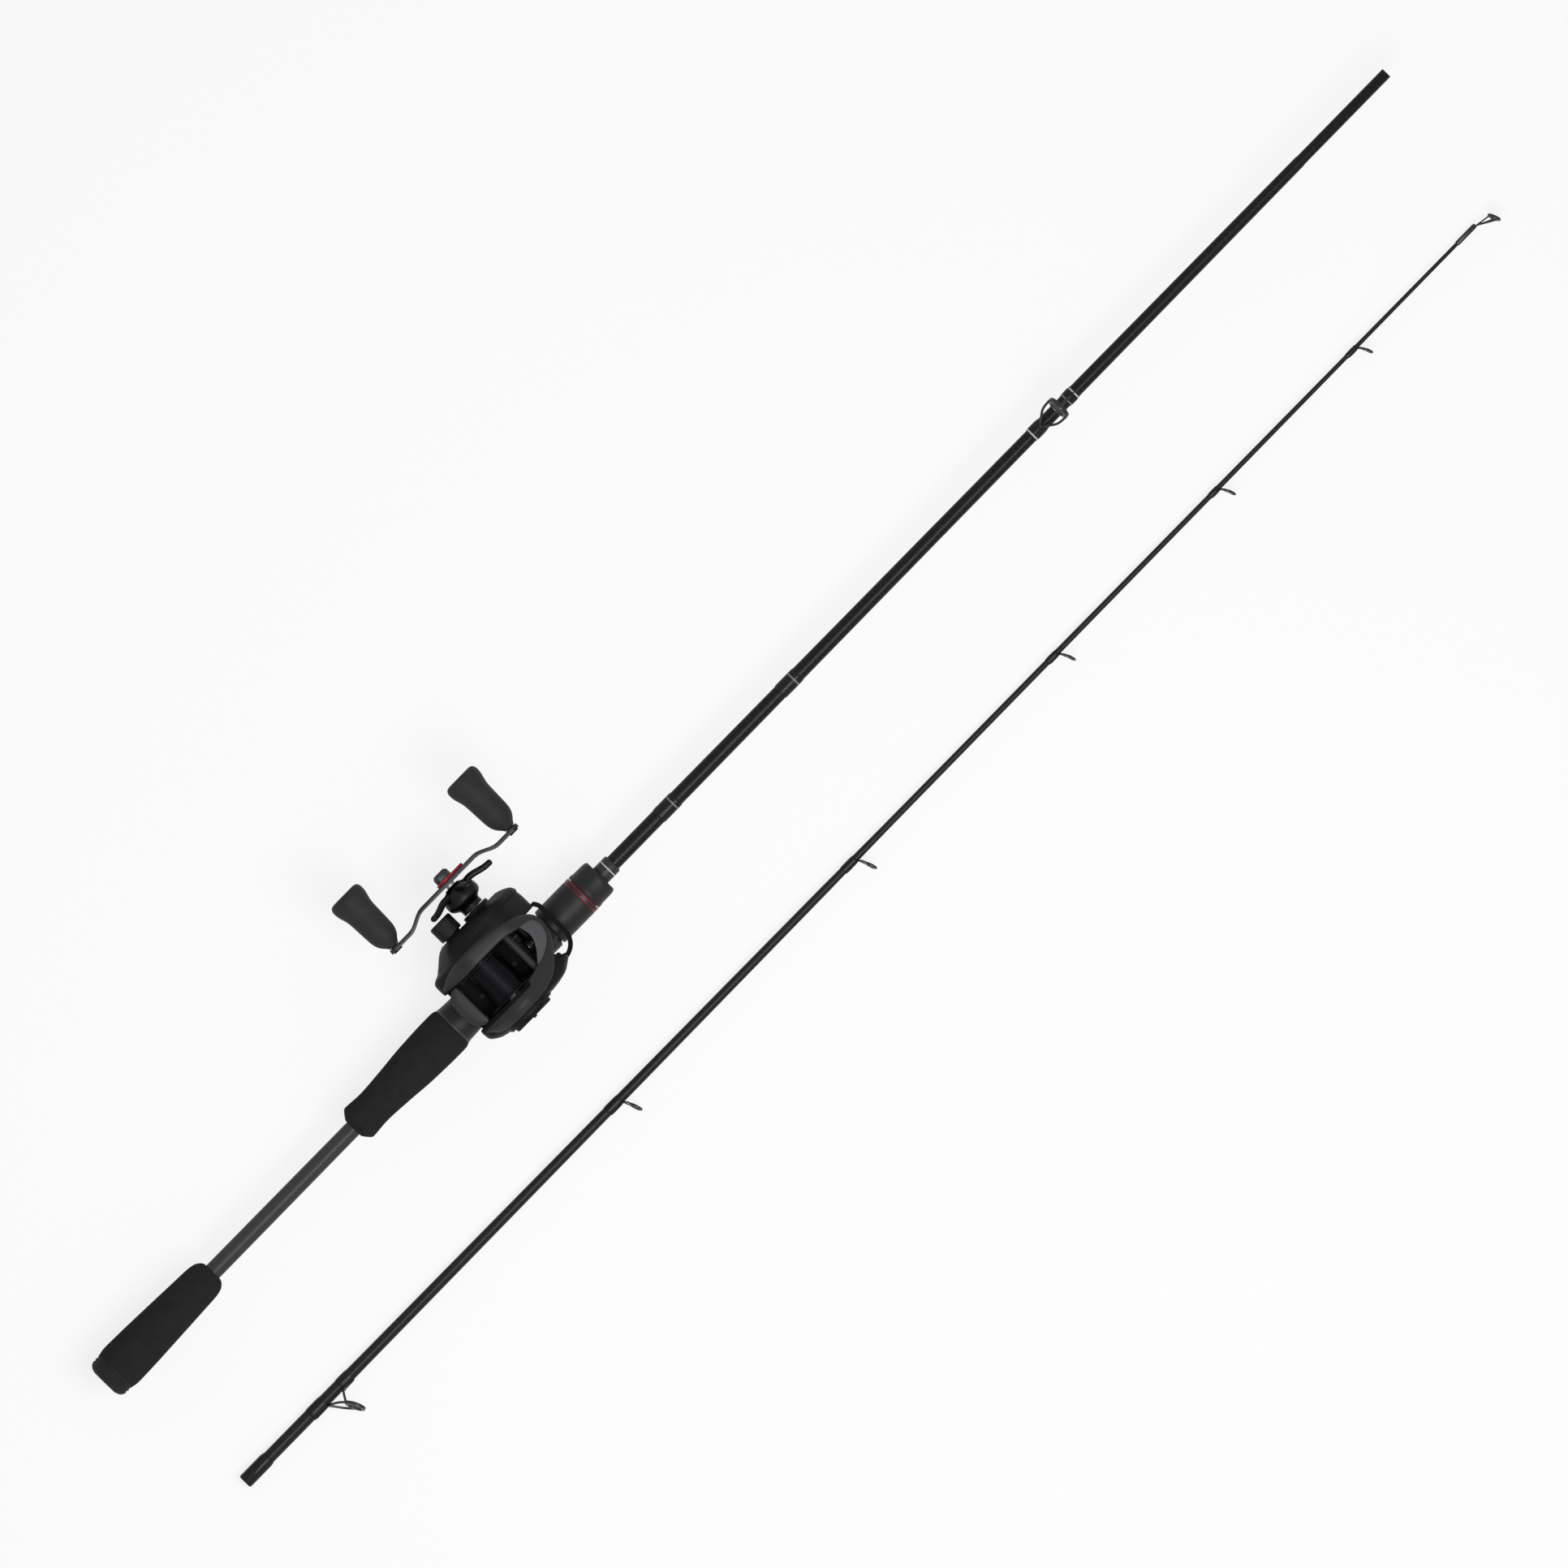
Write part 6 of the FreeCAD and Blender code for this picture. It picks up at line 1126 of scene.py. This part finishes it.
# Height, how far the edge is drawn in, and how far the back lies forward.
THUMB_STEPS = [(31.0, 0.5, 0), (31.5, 0, 0), (32.4, 0, 0), (32.9, 0.12, 0.8), (33.8, 0.25, 2.6),
               (34.1, 0.5, 3.4), (34.2, 1, 4.2)]
thumb_levels = [(height, thumb_plan(inset, back)) for height, inset, back in THUMB_STEPS]
piece("thumb_pad", "thumb", bar_grey, [shell(thumb_levels, "Z", 0.5, 160)], ["thumb_bar"])


# ---- Floor, light and camera -----------------------------------------------------------------
# A pale floor under the object, a soft overhead lamp and a pale world. The camera looks straight
# down with the rod running from the lower left to the upper right.

floor_gap = 0.0005
floor_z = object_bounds()[0][2] - floor_gap
bpy.ops.mesh.primitive_plane_add(size=12, location=(0.5, 0, floor_z))
floor = bpy.context.object
floor.name = "floor"
pale = Finish("floor")
pale_cloud = pale.noise(400, 2)
pale.finish(pale.mix(pale_cloud, (0.86, 0.86, 0.86), (0.88, 0.88, 0.88)), 0.9)
seen, mirrored = (pale.add("ShaderNodeLightPath", output=kind) for kind in ("Is Camera Ray", "Is Glossy Ray"))
glow = pale.add("ShaderNodeEmission", sockets={"Color": (1, 1, 1, 1), "Strength": 1.0})
mixed = pale.add("ShaderNodeMixShader", sockets=[
    (seen + mirrored) * 0.8, Value(pale, pale.shader.outputs[0]), glow])
pale.tree.links.new(mixed.socket, pale.tree.nodes["Material Output"].inputs["Surface"])
floor.data.materials.append(pale.material)

world = bpy.data.worlds.new("studio")
bpy.context.scene.world = world
world.use_nodes = True
sky = world.node_tree
sky_light = sky.nodes["Background"]
sky_light.inputs["Color"].default_value = (1, 1, 1, 1)
sky_path = sky.nodes.new("ShaderNodeLightPath")
sky_level = sky.nodes.new("ShaderNodeMapRange")
sky_level.inputs["To Min"].default_value = 1.0
sky_level.inputs["To Max"].default_value = 0.45
sky.links.new(sky_path.outputs["Is Diffuse Ray"], sky_level.inputs["Value"])
sky.links.new(sky_level.outputs["Result"], sky_light.inputs["Strength"])

lamp_place, lamp_aim = (0.4, -0.55, 1.6), (0.5, -0.04, 0)
soft_box = bpy.data.lights.new("overhead", "AREA")
soft_box.size = 0.9
soft_box.energy = 18
lamp = bpy.data.objects.new("overhead", soft_box)
bpy.context.scene.collection.objects.link(lamp)
lamp.location = lamp_place
aim = np.array(lamp_aim) - lamp_place
lamp.rotation_euler = (math.atan2(math.hypot(aim[0], aim[1]), -aim[2]), 0,
                       math.atan2(aim[0], -aim[1]) + math.pi)

view_width, view_turn = 0.892, -45.61
camera_data = bpy.data.cameras.new("camera")
camera_data.type = "ORTHO"
camera_data.ortho_scale = view_width
camera_data.clip_end = 10
camera = bpy.data.objects.new("camera", camera_data)
bpy.context.scene.collection.objects.link(camera)
camera.location = (0.5139, -0.0381, 2)
camera.rotation_euler = (0, 0, math.radians(view_turn))
bpy.context.scene.camera = camera
bpy.context.scene.view_settings.view_transform = "Standard"
